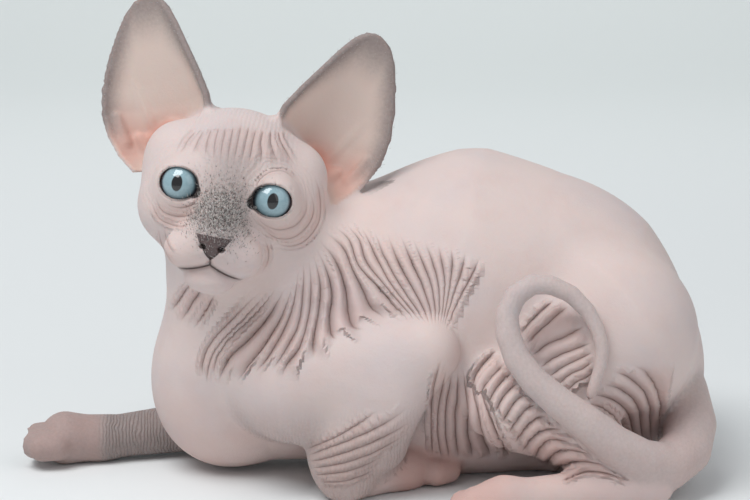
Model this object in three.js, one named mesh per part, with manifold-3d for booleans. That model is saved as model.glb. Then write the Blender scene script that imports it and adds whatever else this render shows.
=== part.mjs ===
// A hairless kitten lying down, life size, as a still museum model.
// Millimetres, +Z up, floor at z = 0. The kitten lies along X, with its chest at -X and its rump at +X,
// and its left side faces -Y, where its head is turned.
//
// The flesh is one smooth field: each limb is a chain of tapering rounds, and neighbours melt into each
// other. The field is turned into closed meshes, which are then parted into nodes with thin cuts.
import * as THREE from "three";
import { mergeVertices } from "three/addons/utils/BufferGeometryUtils.js";
import Module from "manifold-3d";

const wasm = await Module();
wasm.setup();

// Driving sizes
const BODY_LENGTH = 210; // chest to rump
const BACK_HEIGHT = 116;
const GAP = 0.35; // between neighbouring nodes
const SIZE = BODY_LENGTH / 210; // scales the whole kitten, so 1 is this kitten
const BACK = BACK_HEIGHT / 116; // scales the height of the trunk alone

// Mesh step of each region, finest where the forms are smallest
const STEP = { trunk: 10.8, limb: 7.5, paw: 4.1, head: 4.5, region: 10 };

// Head: where it is, how it is turned, and the places of what it carries, in its own axes
// (x to its left, y forwards, z up)
const HEAD = [-52.8, -16, 105.2];
const HEAD_PAN = -1.5;
const HEAD_PITCH = 9;
const HEAD_ROLL = 10.5;
const EYE_AT = [15.8, 17, 4];
const EYE_RADIUS = 9;
const LID_THICKNESS = 1.3;
const EYE_LOOK = [0.16, 1, 0];
const EYE_OPENING = [6.9, 5.6]; // half width and half height between the lids
const EAR_AT = [24, -5, 18.5];
const RIGHT_EAR_SHIFT = [1.8, 0, -1.2]; // the right ear is carried further out and a little lower
const EAR_THICKNESS = 2.3;

// An ear, up its length from the lobe: outer half width, inner half width and depth of the cup
const EAR_SECTIONS = [
  { up: -9, outer: 16, inner: 10, depth: 11 },
  { up: -2, outer: 21, inner: 13.5, depth: 13 },
  { up: 6, outer: 24.2, inner: 16.5, depth: 13.5 },
  { up: 14, outer: 25.5, inner: 17, depth: 12 },
  { up: 23.5, outer: 24, inner: 14.8, depth: 9.2 },
  { up: 33, outer: 20, inner: 12, depth: 6.2 },
  { up: 41.5, outer: 15.2, inner: 9.6, depth: 3.6 },
  { up: 48.5, outer: 10.4, inner: 7, depth: 1.7 },
  { up: 52.5, outer: 5.8, inner: 4.2, depth: 0.6 },
  { up: 54, outer: 0.8, inner: 0.8, depth: 0.2 },
];

// The tail's centre line and radius, from inside the rump, round the loop on the thigh, to the tip
const TAIL = [
  [105, 4, 44.5, 11],
  [113.5, -6, 31, 10.5],
  [115.7, -20, 22.6, 9.8],
  [112.7, -33, 16.6, 9.3],
  [104.7, -43, 13.3, 8.8],
  [95.2, -50, 17.4, 8],
  [84.8, -54.5, 24.7, 7.2],
  [74.6, -57, 33.5, 6.4],
  [64.7, -57.5, 41, 5.8],
  [55.6, -57, 49, 5.2],
  [49.7, -56, 56.7, 4.8],
  [46.5, -54.5, 65, 4.5],
  [46.2, -52.5, 71.9, 4.2],
  [49.1, -51, 78.2, 4],
  [54.9, -50, 81.9, 3.75],
  [61.4, -49.5, 81.8, 3.5],
  [68.6, -49.5, 78.5, 3.25],
  [74.5, -50, 72.6, 3],
  [78.1, -51, 66.2, 2.75],
  [79.8, -52, 59.7, 2.5],
  [79.2, -52.5, 53.1, 2.3],
  [77.3, -53, 47.2, 2.1],
  [75.9, -53.5, 43, 1.9],
];
// Where the tail is parted, as a share of its length, and its mesh
const TAIL_PARTS = {
  tail_base: [0.16, 0.42],
  tail_rise: [0.42, 0.62],
  tail_bend: [0.62, 0.8],
  tail_tip: [0.8, 1],
};
const TAIL_SIDES = 12;
const TAIL_STEP = 5;

// Distance fields. Each is a function of x, y, z that is negative inside.
const sub = (a, b) => [a[0] - b[0], a[1] - b[1], a[2] - b[2]];
const dot = (a, b) => a[0] * b[0] + a[1] * b[1] + a[2] * b[2];
const unit = (a) => a.map((c) => c / Math.hypot(...a));
const cross = (a, b) => [a[1] * b[2] - a[2] * b[1], a[2] * b[0] - a[0] * b[2], a[0] * b[1] - a[1] * b[0]];

// A straight length whose radius goes from ra at a to rb at b, with round ends
function taper(a, b, ra, rb) {
  const ab = sub(b, a);
  const ll = dot(ab, ab);
  return (x, y, z) => {
    const qx = x - a[0];
    const qy = y - a[1];
    const qz = z - a[2];
    const t = Math.min(1, Math.max(0, (qx * ab[0] + qy * ab[1] + qz * ab[2]) / ll));
    return Math.hypot(qx - t * ab[0], qy - t * ab[1], qz - t * ab[2]) - (ra + (rb - ra) * t);
  };
}

// An ellipsoid with half axes r
function egg(c, r) {
  return (x, y, z) => {
    const u = [(x - c[0]) / r[0], (y - c[1]) / r[1], (z - c[2]) / r[2]];
    const k0 = Math.hypot(...u);
    const k1 = Math.hypot(u[0] / r[0], u[1] / r[1], u[2] / r[2]) + 1e-9;
    return (k0 * (k0 - 1)) / k1;
  };
}

// The union of two distances, melted together over a width k
function melt(a, b, k) {
  const h = Math.max(k - Math.abs(a - b), 0) / k;
  return Math.min(a, b) - h * h * k * 0.25;
}

// A chain of [field, melting width]; the first width is not used
const chain = (links) => (x, y, z) =>
  links.slice(1).reduce((d, [f, k]) => melt(d, f(x, y, z), k), links[0][0](x, y, z));

// Squeezes a field sideways about the plane y = middle
const squeeze = (f, middle, share) => (x, y, z) => f(x, (y - middle) / share, z);

// Trunk: chest, ribs, belly and rump
const TRUNK_MIDDLE = 8;
const TRUNK_WIDTH = 0.84;
const trunkPoint = (x, y, z) => [x, y, z * BACK];
const trunk = squeeze(
  chain([
    [taper(trunkPoint(-54, -10, 29.5), trunkPoint(-16, 0, 51), 28.5, 44)],
    [taper(trunkPoint(-16, 0, 51), trunkPoint(38, 4, 56.5), 44, 58), 20],
    [taper(trunkPoint(38, 4, 56.5), trunkPoint(66, 0, 55), 58, 47), 20],
    [taper(trunkPoint(66, 0, 55), trunkPoint(86, -4, 35.5), 45, 37), 20],
  ]),
  TRUNK_MIDDLE,
  TRUNK_WIDTH,
);

const neck = chain([
  [taper([-52, -2, 48], [-49, -6, 88], 27, 25)],
  [taper([-48, -4, 85], [-16, 4, 66], 24, 34), 14],
]);

// A paw's toes: four short rounds spread across the direction that the paw points in
function toes(heel, tip, radius, spread) {
  const along = unit(sub(tip, heel));
  const across = unit(cross(along, [0, 0, 1]));
  return [-1.5, -0.5, 0.5, 1.5].map((n) => {
    const reach = Math.abs(n) > 1 ? -2.2 : 0;
    const at = (d) => tip.map((c, i) => c + along[i] * d + across[i] * n * spread);
    return [taper(at(reach - 5), at(reach), radius, radius * 0.96), 1.6];
  });
}

// Hind leg with the knee forwards and the foot flat, lying on the kitten's left
const hindThigh = chain([
  [taper([84, -18, 56], [50, -38, 38], 34, 16)],
  [taper([50, -40, 36], [96, -46, 12], 15, 9), 10],
]);
const hindFoot = chain([
  [taper([99, -46, 7.5], [45, -62, 7], 8, 7)],
  [taper([45, -62, 7], [36, -65, 6.6], 8.2, 6.5), 5],
  ...toes([45, -62, 5], [31, -66.5, 4.9], 5.1, 4.3),
]);
const otherSide = (f) => (x, y, z) => f(x, 2 * TRUNK_MIDDLE - y, z);
const rightThigh = otherSide(hindThigh);
const rightFoot = otherSide(hindFoot);

// Left foreleg: elbow high against the ribs, forearm down to the wrist, paw folded back
const leftArm = chain([
  [taper([-28, -24, 42], [18, -38, 56], 25, 11)],
  [taper([18, -40, 55], [-11, -39, 8.2], 11, 9), 8],
  [taper([-2, -34, 40], [-14, -36, 15], 15, 10), 8],
  [taper([8, -38, 38], [2, -36, 20], 9, 10), 6],
]);
const leftPaw = chain([
  [taper([-10, -38, 7], [10, -24, 6.5], 8, 7.5)],
  [taper([10, -24, 6.5], [17, -19.5, 6.6], 7.6, 7), 6],
  ...toes([10, -24, 5.5], [25, -14.5, 5.6], 5.4, 4.3),
]);
const SHOULDER = [-32, -24, 46];
const SHOULDER_REACH = 24;

// Right foreleg, stretched out along the floor
const rightArm = chain([
  [taper([-40, 26, 34], [-58, 24, 12], 18, 11)],
  [taper([-60, 22, 11], [-104, 9.5, 8.6], 10, 8), 8],
]);
const rightPaw = chain([
  [taper([-104, 9.5, 8.6], [-117, 6.5, 9.6], 8.2, 10.2)],
  ...toes([-115, 6.5, 9], [-128.5, 3.6, 8.6], 5.8, 4.7),
]);

// The head's own axes, from its pan, pitch and roll
const rad = THREE.MathUtils.degToRad;
const forwards = [
  Math.sin(rad(HEAD_PAN)) * Math.cos(rad(HEAD_PITCH)),
  -Math.cos(rad(HEAD_PAN)) * Math.cos(rad(HEAD_PITCH)),
  Math.sin(rad(HEAD_PITCH)),
];
const levelSide = [Math.cos(rad(HEAD_PAN)), Math.sin(rad(HEAD_PAN)), 0];
const levelUp = cross(forwards, levelSide);
const rollCos = Math.cos(rad(HEAD_ROLL));
const rollSin = Math.sin(rad(HEAD_ROLL));
const side = levelSide.map((c, i) => c * rollCos - levelUp[i] * rollSin);
const up = levelUp.map((c, i) => c * rollCos + levelSide[i] * rollSin);
const onHead = (p) => HEAD.map((c, i) => c + side[i] * p[0] + forwards[i] * p[1] + up[i] * p[2]);
const headTurn = (v) => side.map((_, i) => side[i] * v[0] + forwards[i] * v[1] + up[i] * v[2]);

// Skull, cheeks, muzzle, chin and lids. What is paired is written once, with x as |x|.
const middleForms = [
  [egg([0, -7, 9], [27.5, 31, 25])],
  [taper([0, 17, 10], [0, 31.3, -10.5], 10, 6.2), 9],
  [taper([0, 10, -10], [0, 25, -14], 17, 10), 9],
  [egg([0, 32.9, -14.4], [5.6, 4.6, 4]), 3],
  [taper([0, 16, -20], [0, -6, -16], 11, 15), 8],
];
const CHIN_MELT = 1.2;
const pairedForms = [
  [egg([17, 2, -4], [15.5, 18, 16]), 9],
  [egg([24, -4, 12], [9.5, 12, 12]), 8],
  [egg([8.2, 26.4, -18], [9.4, 8.5, 7.4]), 7],
  [egg([0, 24.4, -27], [9.2, 7.8, 5.6]), CHIN_MELT],
  [egg(EYE_AT, [EYE_RADIUS + LID_THICKNESS, EYE_RADIUS + LID_THICKNESS, EYE_RADIUS + LID_THICKNESS]), 5],
];
function head(x, y, z) {
  const q = sub([x, y, z], HEAD);
  const h = [dot(q, side), dot(q, forwards), dot(q, up)];
  const m = Math.abs(h[0]);
  let d = middleForms[0][0](...h);
  for (const [f, k] of middleForms.slice(1)) d = melt(d, f(...h), k);
  for (const [f, k] of pairedForms) d = melt(d, f(m, h[1], h[2]), k);
  return d;
}

// All the flesh but the tail and ears
function shoulderMelt(x, y, z) {
  const q = sub([x, y, z], SHOULDER);
  return 2 + 16 * Math.exp(-dot(q, q) / SHOULDER_REACH ** 2);
}
function body(x, y, z) {
  let d = melt(trunk(x, y, z), neck(x, y, z), 16);
  d = melt(d, melt(hindThigh(x, y, z), hindFoot(x, y, z), 6), 7);
  d = melt(d, melt(rightThigh(x, y, z), rightFoot(x, y, z), 6), 7);
  d = melt(d, melt(rightArm(x, y, z), rightPaw(x, y, z), 4), 8);
  d = melt(d, leftArm(x, y, z), shoulderMelt(x, y, z));
  d = melt(d, leftPaw(x, y, z), 3);
  return melt(d, head(x, y, z), 8);
}

const meshOf = (field, low, high, step) => solidOf(surface(field, low, high, step));

// A closed mesh of the surface where a field is zero, on a grid of the given step. Each grid cell that the
// surface crosses gets one corner, moved on to the surface, and each crossed grid edge one four-sided face.
function surface(field, low, high, step) {
  const n = low.map((c, i) => Math.ceil((high[i] - c) / step) + 1);
  const at = (i, j, k) => (i * n[1] + j) * n[2] + k;
  const place = (i, j, k) => [low[0] + i * step, low[1] + j * step, low[2] + k * step];
  const value = new Float64Array(n[0] * n[1] * n[2]);
  const rim = (...cell) => cell.some((c, axis) => c === 0 || c === n[axis] - 1);
  for (let i = 0; i < n[0]; i++)
    for (let j = 0; j < n[1]; j++)
      for (let k = 0; k < n[2]; k++) {
        const d = field(...place(i, j, k));
        value[at(i, j, k)] = rim(i, j, k) ? Math.max(step / 2, d) : d;
      }

  // where two opposite corners of a grid face are inside and the other two outside, four faces would share
  // an edge, so one of the outside corners is taken in
  for (let found = true; found; ) {
    found = false;
    for (let i = 1; i < n[0] - 2; i++)
      for (let j = 1; j < n[1] - 2; j++)
        for (let k = 1; k < n[2] - 2; k++)
          for (let axis = 0; axis < 3; axis++) {
            const ring = [[0, 0], [1, 0], [1, 1], [0, 1]].map(([p, q]) => {
              const a = [i, j, k];
              a[(axis + 1) % 3] += p;
              a[(axis + 2) % 3] += q;
              return at(...a);
            });
            const inside = ring.map((r) => value[r] < 0);
            if (inside[0] !== inside[2] || inside[1] !== inside[3] || inside[0] === inside[1]) continue;
            const outer = ring.filter((_, m) => !inside[m]);
            value[value[outer[0]] < value[outer[1]] ? outer[0] : outer[1]] = -0.05 * step;
            found = true;
          }
  }

  const corner = new Map();
  const points = [];
  const cornerOf = (i, j, k) => {
    const key = at(i, j, k);
    if (corner.has(key)) return corner.get(key);
    const sum = [0, 0, 0];
    let count = 0;
    for (let axis = 0; axis < 3; axis++)
      for (const [p, q] of [[0, 0], [0, 1], [1, 0], [1, 1]]) {
        const a = [i, j, k];
        a[(axis + 1) % 3] += p;
        a[(axis + 2) % 3] += q;
        const b = [...a];
        b[axis] += 1;
        const va = value[at(...a)];
        const vb = value[at(...b)];
        if (va < 0 === vb < 0) continue;
        const w = place(...a);
        w[axis] += (step * va) / (va - vb);
        w.forEach((c, m) => (sum[m] += c));
        count += 1;
      }
    points.push(settle(field, sum.map((c) => c / count), step));
    corner.set(key, points.length - 1);
    return points.length - 1;
  };

  const faces = [];
  for (let i = 0; i < n[0] - 1; i++)
    for (let j = 0; j < n[1] - 1; j++)
      for (let k = 0; k < n[2] - 1; k++)
        for (let axis = 0; axis < 3; axis++) {
          const next = [i, j, k];
          next[axis] += 1;
          const here = value[at(i, j, k)] < 0;
          if (here === value[at(...next)] < 0) continue;
          const b = (axis + 1) % 3;
          const c = (axis + 2) % 3;
          const ring = [[0, 0], [1, 0], [1, 1], [0, 1]].map(([p, q]) => {
            const cell = [i, j, k];
            cell[b] -= p;
            cell[c] -= q;
            return cornerOf(...cell);
          });
          const [r, s, t, u] = here ? ring : ring.reverse();
          // the shorter diagonal gives the smoother pair of triangles
          const far = (m, o) => Math.hypot(...sub(points[m], points[o]));
          if (far(r, t) <= far(s, u)) faces.push(r, s, t, r, t, u);
          else faces.push(s, t, u, s, u, r);
        }
  return geometryFrom(points.flat(), faces);
}

// Moves a point down the field's slope on to its surface, by half a step at most
function settle(field, point, step) {
  let p = point;
  for (let turn = 0; turn < 2; turn++) {
    const d = field(...p);
    const e = 0.3;
    const g = [0, 1, 2].map((axis) => {
      const a = [...p];
      const b = [...p];
      a[axis] += e;
      b[axis] -= e;
      return (field(...a) - field(...b)) / (2 * e);
    });
    const move = Math.min(step * 0.35, Math.max(-step * 0.35, d / Math.max(dot(g, g), 0.05)));
    p = p.map((c, i) => c - g[i] * move);
  }
  return p;
}

function geometryFrom(positions, index) {
  const geometry = new THREE.BufferGeometry();
  geometry.setAttribute("position", new THREE.Float32BufferAttribute(positions, 3));
  geometry.setIndex(index);
  return geometry;
}

// The same mesh with each corner moved outwards, or inwards where the distance is negative
function swell(geometry, distance) {
  const moved = geometry.clone();
  moved.computeVertexNormals();
  const place = moved.attributes.position.array;
  const normal = moved.attributes.normal.array;
  for (let i = 0; i < place.length; i++) place[i] += normal[i] * distance;
  return solidOf(moved);
}

// Between geometries and solids that can be joined and cut
const solid = (positions, index) => solidOf(geometryFrom(positions, index));
function solidOf(geometry) {
  const bare = geometry.clone();
  bare.deleteAttribute("normal");
  bare.deleteAttribute("uv");
  const merged = mergeVertices(bare, 1e-4);
  return new wasm.Manifold(
    new wasm.Mesh({
      numProp: 3,
      vertProperties: new Float32Array(merged.attributes.position.array),
      triVerts: new Uint32Array(merged.index.array),
    }),
  );
}
function geometryOf(body) {
  const mesh = body.getMesh();
  const positions = new Float32Array(mesh.numVert * 3);
  for (let i = 0; i < mesh.numVert; i++)
    for (let c = 0; c < 3; c++) positions[i * 3 + c] = mesh.vertProperties[i * mesh.numProp + c];
  const geometry = new THREE.BufferGeometry();
  geometry.setAttribute("position", new THREE.BufferAttribute(positions, 3));
  geometry.setIndex(new THREE.BufferAttribute(mesh.triVerts, 1));
  return geometry;
}
const largest = (body) => body.decompose().reduce((a, b) => (b.volume() > a.volume() ? b : a));

// A block that holds all on the far side of a plane through a point, grown back by `shift`
function beyond(point, normal, shift = 0) {
  const reach = 400;
  const block = new THREE.BoxGeometry(reach, reach, reach);
  block.translate(0, 0, reach / 2 + shift);
  const away = new THREE.Vector3(...unit(normal));
  block.applyQuaternion(new THREE.Quaternion().setFromUnitVectors(new THREE.Vector3(0, 0, 1), away));
  block.translate(...point);
  return solidOf(block);
}
const FLOOR = beyond([0, 0, 0], [0, 0, -1]);

// The two sides of a plane, with a thin cut between them
function part(body, point, normal) {
  const ahead = largest(body.intersect(beyond(point, normal, GAP / 2)));
  const behind = largest(body.subtract(beyond(point, normal, -GAP / 2)));
  return [ahead, behind];
}

// The space nearer to one limb than to the rest: `keep` is that limb's share, and `clear` the same with the
// cut round it, to be taken from the rest
const REGION_REACH = 12;
function regionOf(own, rest, low, high) {
  const share = (x, y, z) => {
    const d = own(x, y, z);
    return Math.max(d - rest(x, y, z), d - REGION_REACH);
  };
  const space = surface(share, low, high, STEP.region);
  return { keep: swell(space, -GAP), clear: swell(space, GAP) };
}

// The tail: rings round a smooth line, closed at both ends
const tailLine = new THREE.CatmullRomCurve3(TAIL.map(([x, y, z]) => new THREE.Vector3(x, y, z)));
function tailLength(from, to, grow) {
  const rings = Math.max(3, Math.round(((to - from) * tailLine.getLength()) / TAIL_STEP));
  const all = [];
  for (let i = 0; i <= rings; i++) all.push(from + ((to - from) * i) / rings);
  const positions = [];
  const index = [];
  all.forEach((share) => {
    const centre = tailLine.getPointAt(share);
    const ahead = tailLine.getTangentAt(share);
    const knot = tailLine.getUtoTmapping(share) * (TAIL.length - 1);
    const k = Math.min(TAIL.length - 2, Math.floor(knot));
    const radius = THREE.MathUtils.lerp(TAIL[k][3], TAIL[k + 1][3], knot - k) + grow;
    const a = new THREE.Vector3(0, -1, 0.2).cross(ahead).normalize();
    const b = new THREE.Vector3().crossVectors(ahead, a);
    for (let s = 0; s < TAIL_SIDES; s++) {
      const turn = (2 * Math.PI * s) / TAIL_SIDES;
      const p = centre.clone().addScaledVector(a, radius * Math.cos(turn));
      p.addScaledVector(b, radius * Math.sin(turn));
      positions.push(p.x, p.y, p.z);
    }
  });
  const ring = (r, s) => r * TAIL_SIDES + (s % TAIL_SIDES);
  for (let r = 0; r < rings; r++)
    for (let s = 0; s < TAIL_SIDES; s++)
      for (const third of [ring(r, s + 1), ring(r + 1, s + 1)]) {
        const fourth = third === ring(r, s + 1) ? ring(r + 1, s + 1) : ring(r + 1, s);
        index.push(ring(r, s), third, fourth);
      }
  for (let s = 1; s < TAIL_SIDES - 1; s++) index.push(ring(0, 0), ring(0, s + 1), ring(0, s));
  if (to === 1) {
    const point = tailLine.getPointAt(1).addScaledVector(tailLine.getTangentAt(1), TAIL.at(-1)[3]);
    const last = positions.push(...point.toArray()) / 3 - 1;
    for (let s = 0; s < TAIL_SIDES; s++) index.push(last, ring(rings, s), ring(rings, s + 1));
  } else {
    for (let s = 1; s < TAIL_SIDES - 1; s++) index.push(ring(rings, 0), ring(rings, s), ring(rings, s + 1));
  }
  return solid(positions, index);
}

// An ear: a cupped sheet with an inner and an outer face, wide at the lobe and round at the tip
const EAR_ROWS = 11;
const EAR_COLUMNS = 9;
const EAR_BEND = 1.35;
function ear(hand) {
  const rise = unit([0.36, -0.1, 1]);
  const lean = [0.42, 1, 0.05];
  const cup = unit(sub(lean, rise.map((c) => c * dot(lean, rise))));
  const out = cross(cup, rise);
  const turned = (v) => headTurn([v[0] * hand, v[1], v[2]]);
  const [riseAxis, outAxis, cupAxis] = [turned(rise), turned(out), turned(cup)];
  const carried = EAR_AT.map((c, i) => c + (hand < 0 ? RIGHT_EAR_SHIFT[i] : 0));
  const base = onHead([carried[0] * hand, carried[1], carried[2]]);
  const section = (height, key) => {
    const i = Math.max(1, EAR_SECTIONS.findIndex((s) => s.up >= height - 1e-9));
    const [a, b] = [EAR_SECTIONS[i - 1], EAR_SECTIONS[i]];
    return a[key] + ((b[key] - a[key]) * (height - a.up)) / (b.up - a.up);
  };
  const low = EAR_SECTIONS[0].up;
  const high = EAR_SECTIONS.at(-1).up;
  const at = (r, c, offset) => {
    const height = low + (high - low) * (1 - (1 - r / EAR_ROWS) ** 1.5);
    const u = -1 + (2 * c) / EAR_COLUMNS;
    const turn = u * EAR_BEND;
    const half = section(height, u > 0 ? "outer" : "inner") / Math.sin(EAR_BEND);
    const cup = section(height, "depth") / (1 - Math.cos(EAR_BEND));
    // across the sheet's section, with less of it sideways where the tip is narrow
    const square = unit([-cup * Math.sin(turn), half * Math.cos(turn), 0]);
    const wide = half * Math.sin(turn) + offset * square[0] * Math.min(1, half / 8);
    const back = -cup * (Math.cos(turn) - Math.cos(EAR_BEND)) + offset * square[1];
    return base.map((b, i) => b + height * riseAxis[i] + wide * outAxis[i] + back * cupAxis[i]);
  };
  const positions = [];
  for (const offset of [EAR_THICKNESS / 2, -EAR_THICKNESS / 2])
    for (let r = 0; r <= EAR_ROWS; r++)
      for (let c = 0; c <= EAR_COLUMNS; c++) positions.push(...at(r, c, offset));
  const columns = EAR_COLUMNS + 1;
  const layer = columns * (EAR_ROWS + 1);
  const index = [];
  const quad = (a, b, c, d) => (hand > 0 ? index.push(a, b, c, a, c, d) : index.push(a, c, b, a, d, c));
  for (let r = 0; r < EAR_ROWS; r++)
    for (let c = 0; c < EAR_COLUMNS; c++) {
      const a = r * columns + c;
      quad(a, a + 1, a + 1 + columns, a + columns);
      quad(a + layer, a + columns + layer, a + 1 + columns + layer, a + 1 + layer);
    }
  const rim = [];
  for (let c = 0; c < EAR_COLUMNS; c++) rim.push(c);
  for (let r = 0; r < EAR_ROWS; r++) rim.push(r * columns + EAR_COLUMNS);
  for (let c = EAR_COLUMNS; c > 0; c--) rim.push(EAR_ROWS * columns + c);
  for (let r = EAR_ROWS; r > 0; r--) rim.push(r * columns);
  rim.forEach((a, i) => {
    const b = rim[(i + 1) % rim.length];
    quad(b, a, a + layer, b + layer);
  });
  return solid(positions, index);
}

// A round tube along a line on the head, with pointed ends, to cut the line of the mouth
function groove(points, radius) {
  const line = new THREE.CatmullRomCurve3(points.map((p) => new THREE.Vector3(...onHead(p))));
  const shape = new THREE.Shape().absarc(0, 0, radius, 0, 2 * Math.PI);
  const swept = { steps: 10, curveSegments: 3, bevelEnabled: false, extrudePath: line };
  return solidOf(new THREE.ExtrudeGeometry(shape, swept));
}

// An ellipsoid with half axes `radii`
function ball(centre, radii, across = 12, down = 8) {
  const sphere = new THREE.SphereGeometry(1, across, down);
  sphere.scale(...radii);
  sphere.translate(...centre);
  return solidOf(sphere);
}
const MOUTH_LINE = [[0, 33, -21.6], [4, 32.2, -23.4], [8, 30.6, -24.8], [12, 27.2, -25.4], [15.5, 22, -24.8]];
const PHILTRUM = [[0, 37.6, -17.5], [0, 36, -19.5], [0, 33.2, -21.6]];
const MOUTH_RADIUS = 0.9;
const NOSTRIL_AT = [3.2, 36.6, -15.4];

function carveFace(skull) {
  let face = skull;
  for (const hand of [-1, 1]) {
    const mirrored = (p) => [p[0] * hand, p[1], p[2]];
    const eye = onHead(mirrored(EYE_AT));
    const reach = EYE_RADIUS + GAP;
    face = face.subtract(ball(eye, [reach, reach, reach], 20, 13));
    const opening = new THREE.CylinderGeometry(1, 1, 14, 24).rotateX(Math.PI / 2);
    opening.scale(EYE_OPENING[0], EYE_OPENING[1], 1);
    const look = new THREE.Vector3(...headTurn(unit(mirrored(EYE_LOOK))));
    const axisUp = new THREE.Vector3(...up);
    const axisSide = new THREE.Vector3().crossVectors(axisUp, look).normalize();
    const axisTop = new THREE.Vector3().crossVectors(look, axisSide);
    opening.applyMatrix4(new THREE.Matrix4().makeBasis(axisSide, axisTop, look));
    opening.translate(...look.clone().multiplyScalar(9.5).add(new THREE.Vector3(...eye)));
    face = face.subtract(solidOf(opening));
    face = face.subtract(groove(MOUTH_LINE.map(mirrored), MOUTH_RADIUS));
    face = face.subtract(ball(onHead(mirrored(NOSTRIL_AT)), [1.25, 1.6, 0.9]));
  }
  return face.subtract(groove(PHILTRUM, MOUTH_RADIUS));
}

// Nodes
const group = new THREE.Group();
const skin = new THREE.MeshStandardMaterial({ color: 0xdcbcb4, roughness: 0.75, metalness: 0 });
const dusky = new THREE.MeshStandardMaterial({ color: 0xb9a29b, roughness: 0.75, metalness: 0 });
const iris = new THREE.MeshStandardMaterial({ color: 0x8fc0d4, roughness: 0.05, metalness: 0 });
function add(name, body, material) {
  const mesh = new THREE.Mesh(geometryOf(largest(body)), material);
  mesh.name = name;
  group.add(mesh);
}

const trunkRest = (x, y, z) => melt(trunk(x, y, z), neck(x, y, z), 16);
const boxes = {
  head: [[-100, -75, 62], [-4, 40, 150]],
  leftArm: [[-72, -72, -8], [44, 12, 92]],
  leftPaw: [[-24, -56, -8], [46, 4, 26]],
  rightArm: [[-118, -10, -8], [-10, 62, 64]],
  rightPaw: [[-146, -16, -8], [-86, 32, 32]],
  hindThigh: [[12, -74, -8], [132, 30, 104]],
  hindFoot: [[14, -86, -8], [120, -26, 26]],
  rightThigh: [[12, -14, -8], [132, 90, 104]],
  rightFoot: [[14, 42, -8], [120, 102, 26]],
};
const TAIL_CLEAR = tailLength(0.1, 1, GAP * 2);
const limbs = {
  head: [head, STEP.head],
  leftArm: [leftArm, STEP.limb],
  leftPaw: [leftPaw, STEP.paw],
  rightArm: [rightArm, STEP.limb],
  rightPaw: [rightPaw, STEP.paw],
  hindThigh: [hindThigh, STEP.limb],
  hindFoot: [hindFoot, STEP.paw],
  rightThigh: [rightThigh, STEP.limb],
  rightFoot: [rightFoot, STEP.paw],
};
const flesh = {};
let taken = TAIL_CLEAR;
const wholeTrunk = surface(body, [-96, -64, -8], [134, 78, 134], STEP.trunk);
let rest = solidOf(wholeTrunk);
for (const [name, [field, step]] of Object.entries(limbs)) {
  const others = Object.entries(limbs)
    .filter(([other]) => other !== name)
    .map(([, [f]]) => f);
  const away = (x, y, z) => others.reduce((d, f) => Math.min(d, f(x, y, z)), trunkRest(x, y, z));
  const { keep, clear } = regionOf(field, away, ...boxes[name]);
  flesh[name] = meshOf(body, ...boxes[name], step).intersect(keep).subtract(FLOOR).subtract(taken);
  taken = taken.add(clear);
}
rest = rest.subtract(FLOOR).subtract(taken);

// Trunk and neck
const [neckNode, torsoNode] = part(largest(rest), [-38, -4, 82], [-0.8, -0.15, 0.75]);
add("torso", torsoNode, skin);
add("neck", neckNode, skin);

// Head, ears and eyes
const skull = largest(flesh.head);
add("head", carveFace(skull), skin);
const fleshClear = swell(surface(body, ...boxes.head, STEP.head), GAP).add(swell(wholeTrunk, GAP));
for (const [hand, name] of [[1, "left"], [-1, "right"]]) {
  add("ear_" + name, ear(hand).subtract(fleshClear), dusky);
  const eye = onHead([EYE_AT[0] * hand, EYE_AT[1], EYE_AT[2]]);
  add("eye_" + name, ball(eye, [EYE_RADIUS, EYE_RADIUS, EYE_RADIUS], 15, 10), iris);
}

// Legs, the forelegs parted at the elbow too
const [leftForearm, leftUpper] = part(largest(flesh.leftArm), [4, -38, 43], [-0.45, 0, -1]);
add("left_upper_arm", leftUpper, skin);
add("left_forearm", leftForearm, dusky);
add("left_forepaw", flesh.leftPaw, dusky);
const [rightForearm, rightUpper] = part(largest(flesh.rightArm), [-61, 22, 12], [-1, -0.3, 0]);
add("right_upper_arm", rightUpper, skin);
add("right_forearm", rightForearm, dusky);
add("right_forepaw", flesh.rightPaw, skin);
add("left_hind_leg", flesh.hindThigh, skin);
add("left_hind_foot", flesh.hindFoot, skin);
add("right_hind_leg", flesh.rightThigh, skin);
add("right_hind_foot", flesh.rightFoot, skin);

// Tail
const tailGap = GAP / tailLine.getLength();
for (const [name, [from, to]] of Object.entries(TAIL_PARTS)) {
  add(name, tailLength(from + tailGap / 2, to === 1 ? 1 : to - tailGap / 2, 0).subtract(FLOOR), dusky);
}

// Full size, with the middle of the whole at x = y = 0
const extent = new THREE.Box3().setFromObject(group);
const middle = extent.getCenter(new THREE.Vector3());
group.children.forEach((mesh) => mesh.geometry.translate(-middle.x, -middle.y, 0).scale(SIZE, SIZE, SIZE));
export default group;
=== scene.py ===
"""A hairless kitten lying on a pale studio floor, as a set of Blender operators with a panel.

The skin is one surface: the place where a smooth field of rounded cones, ellipsoids and a cupped sheet for
each ear is zero, found on a grid that is finest at the head. Folds are then pressed into it along drawn
lines. The eyeballs and the short hairs are separate pieces. The shapes are worked out in millimetres.
"""

import math

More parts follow.
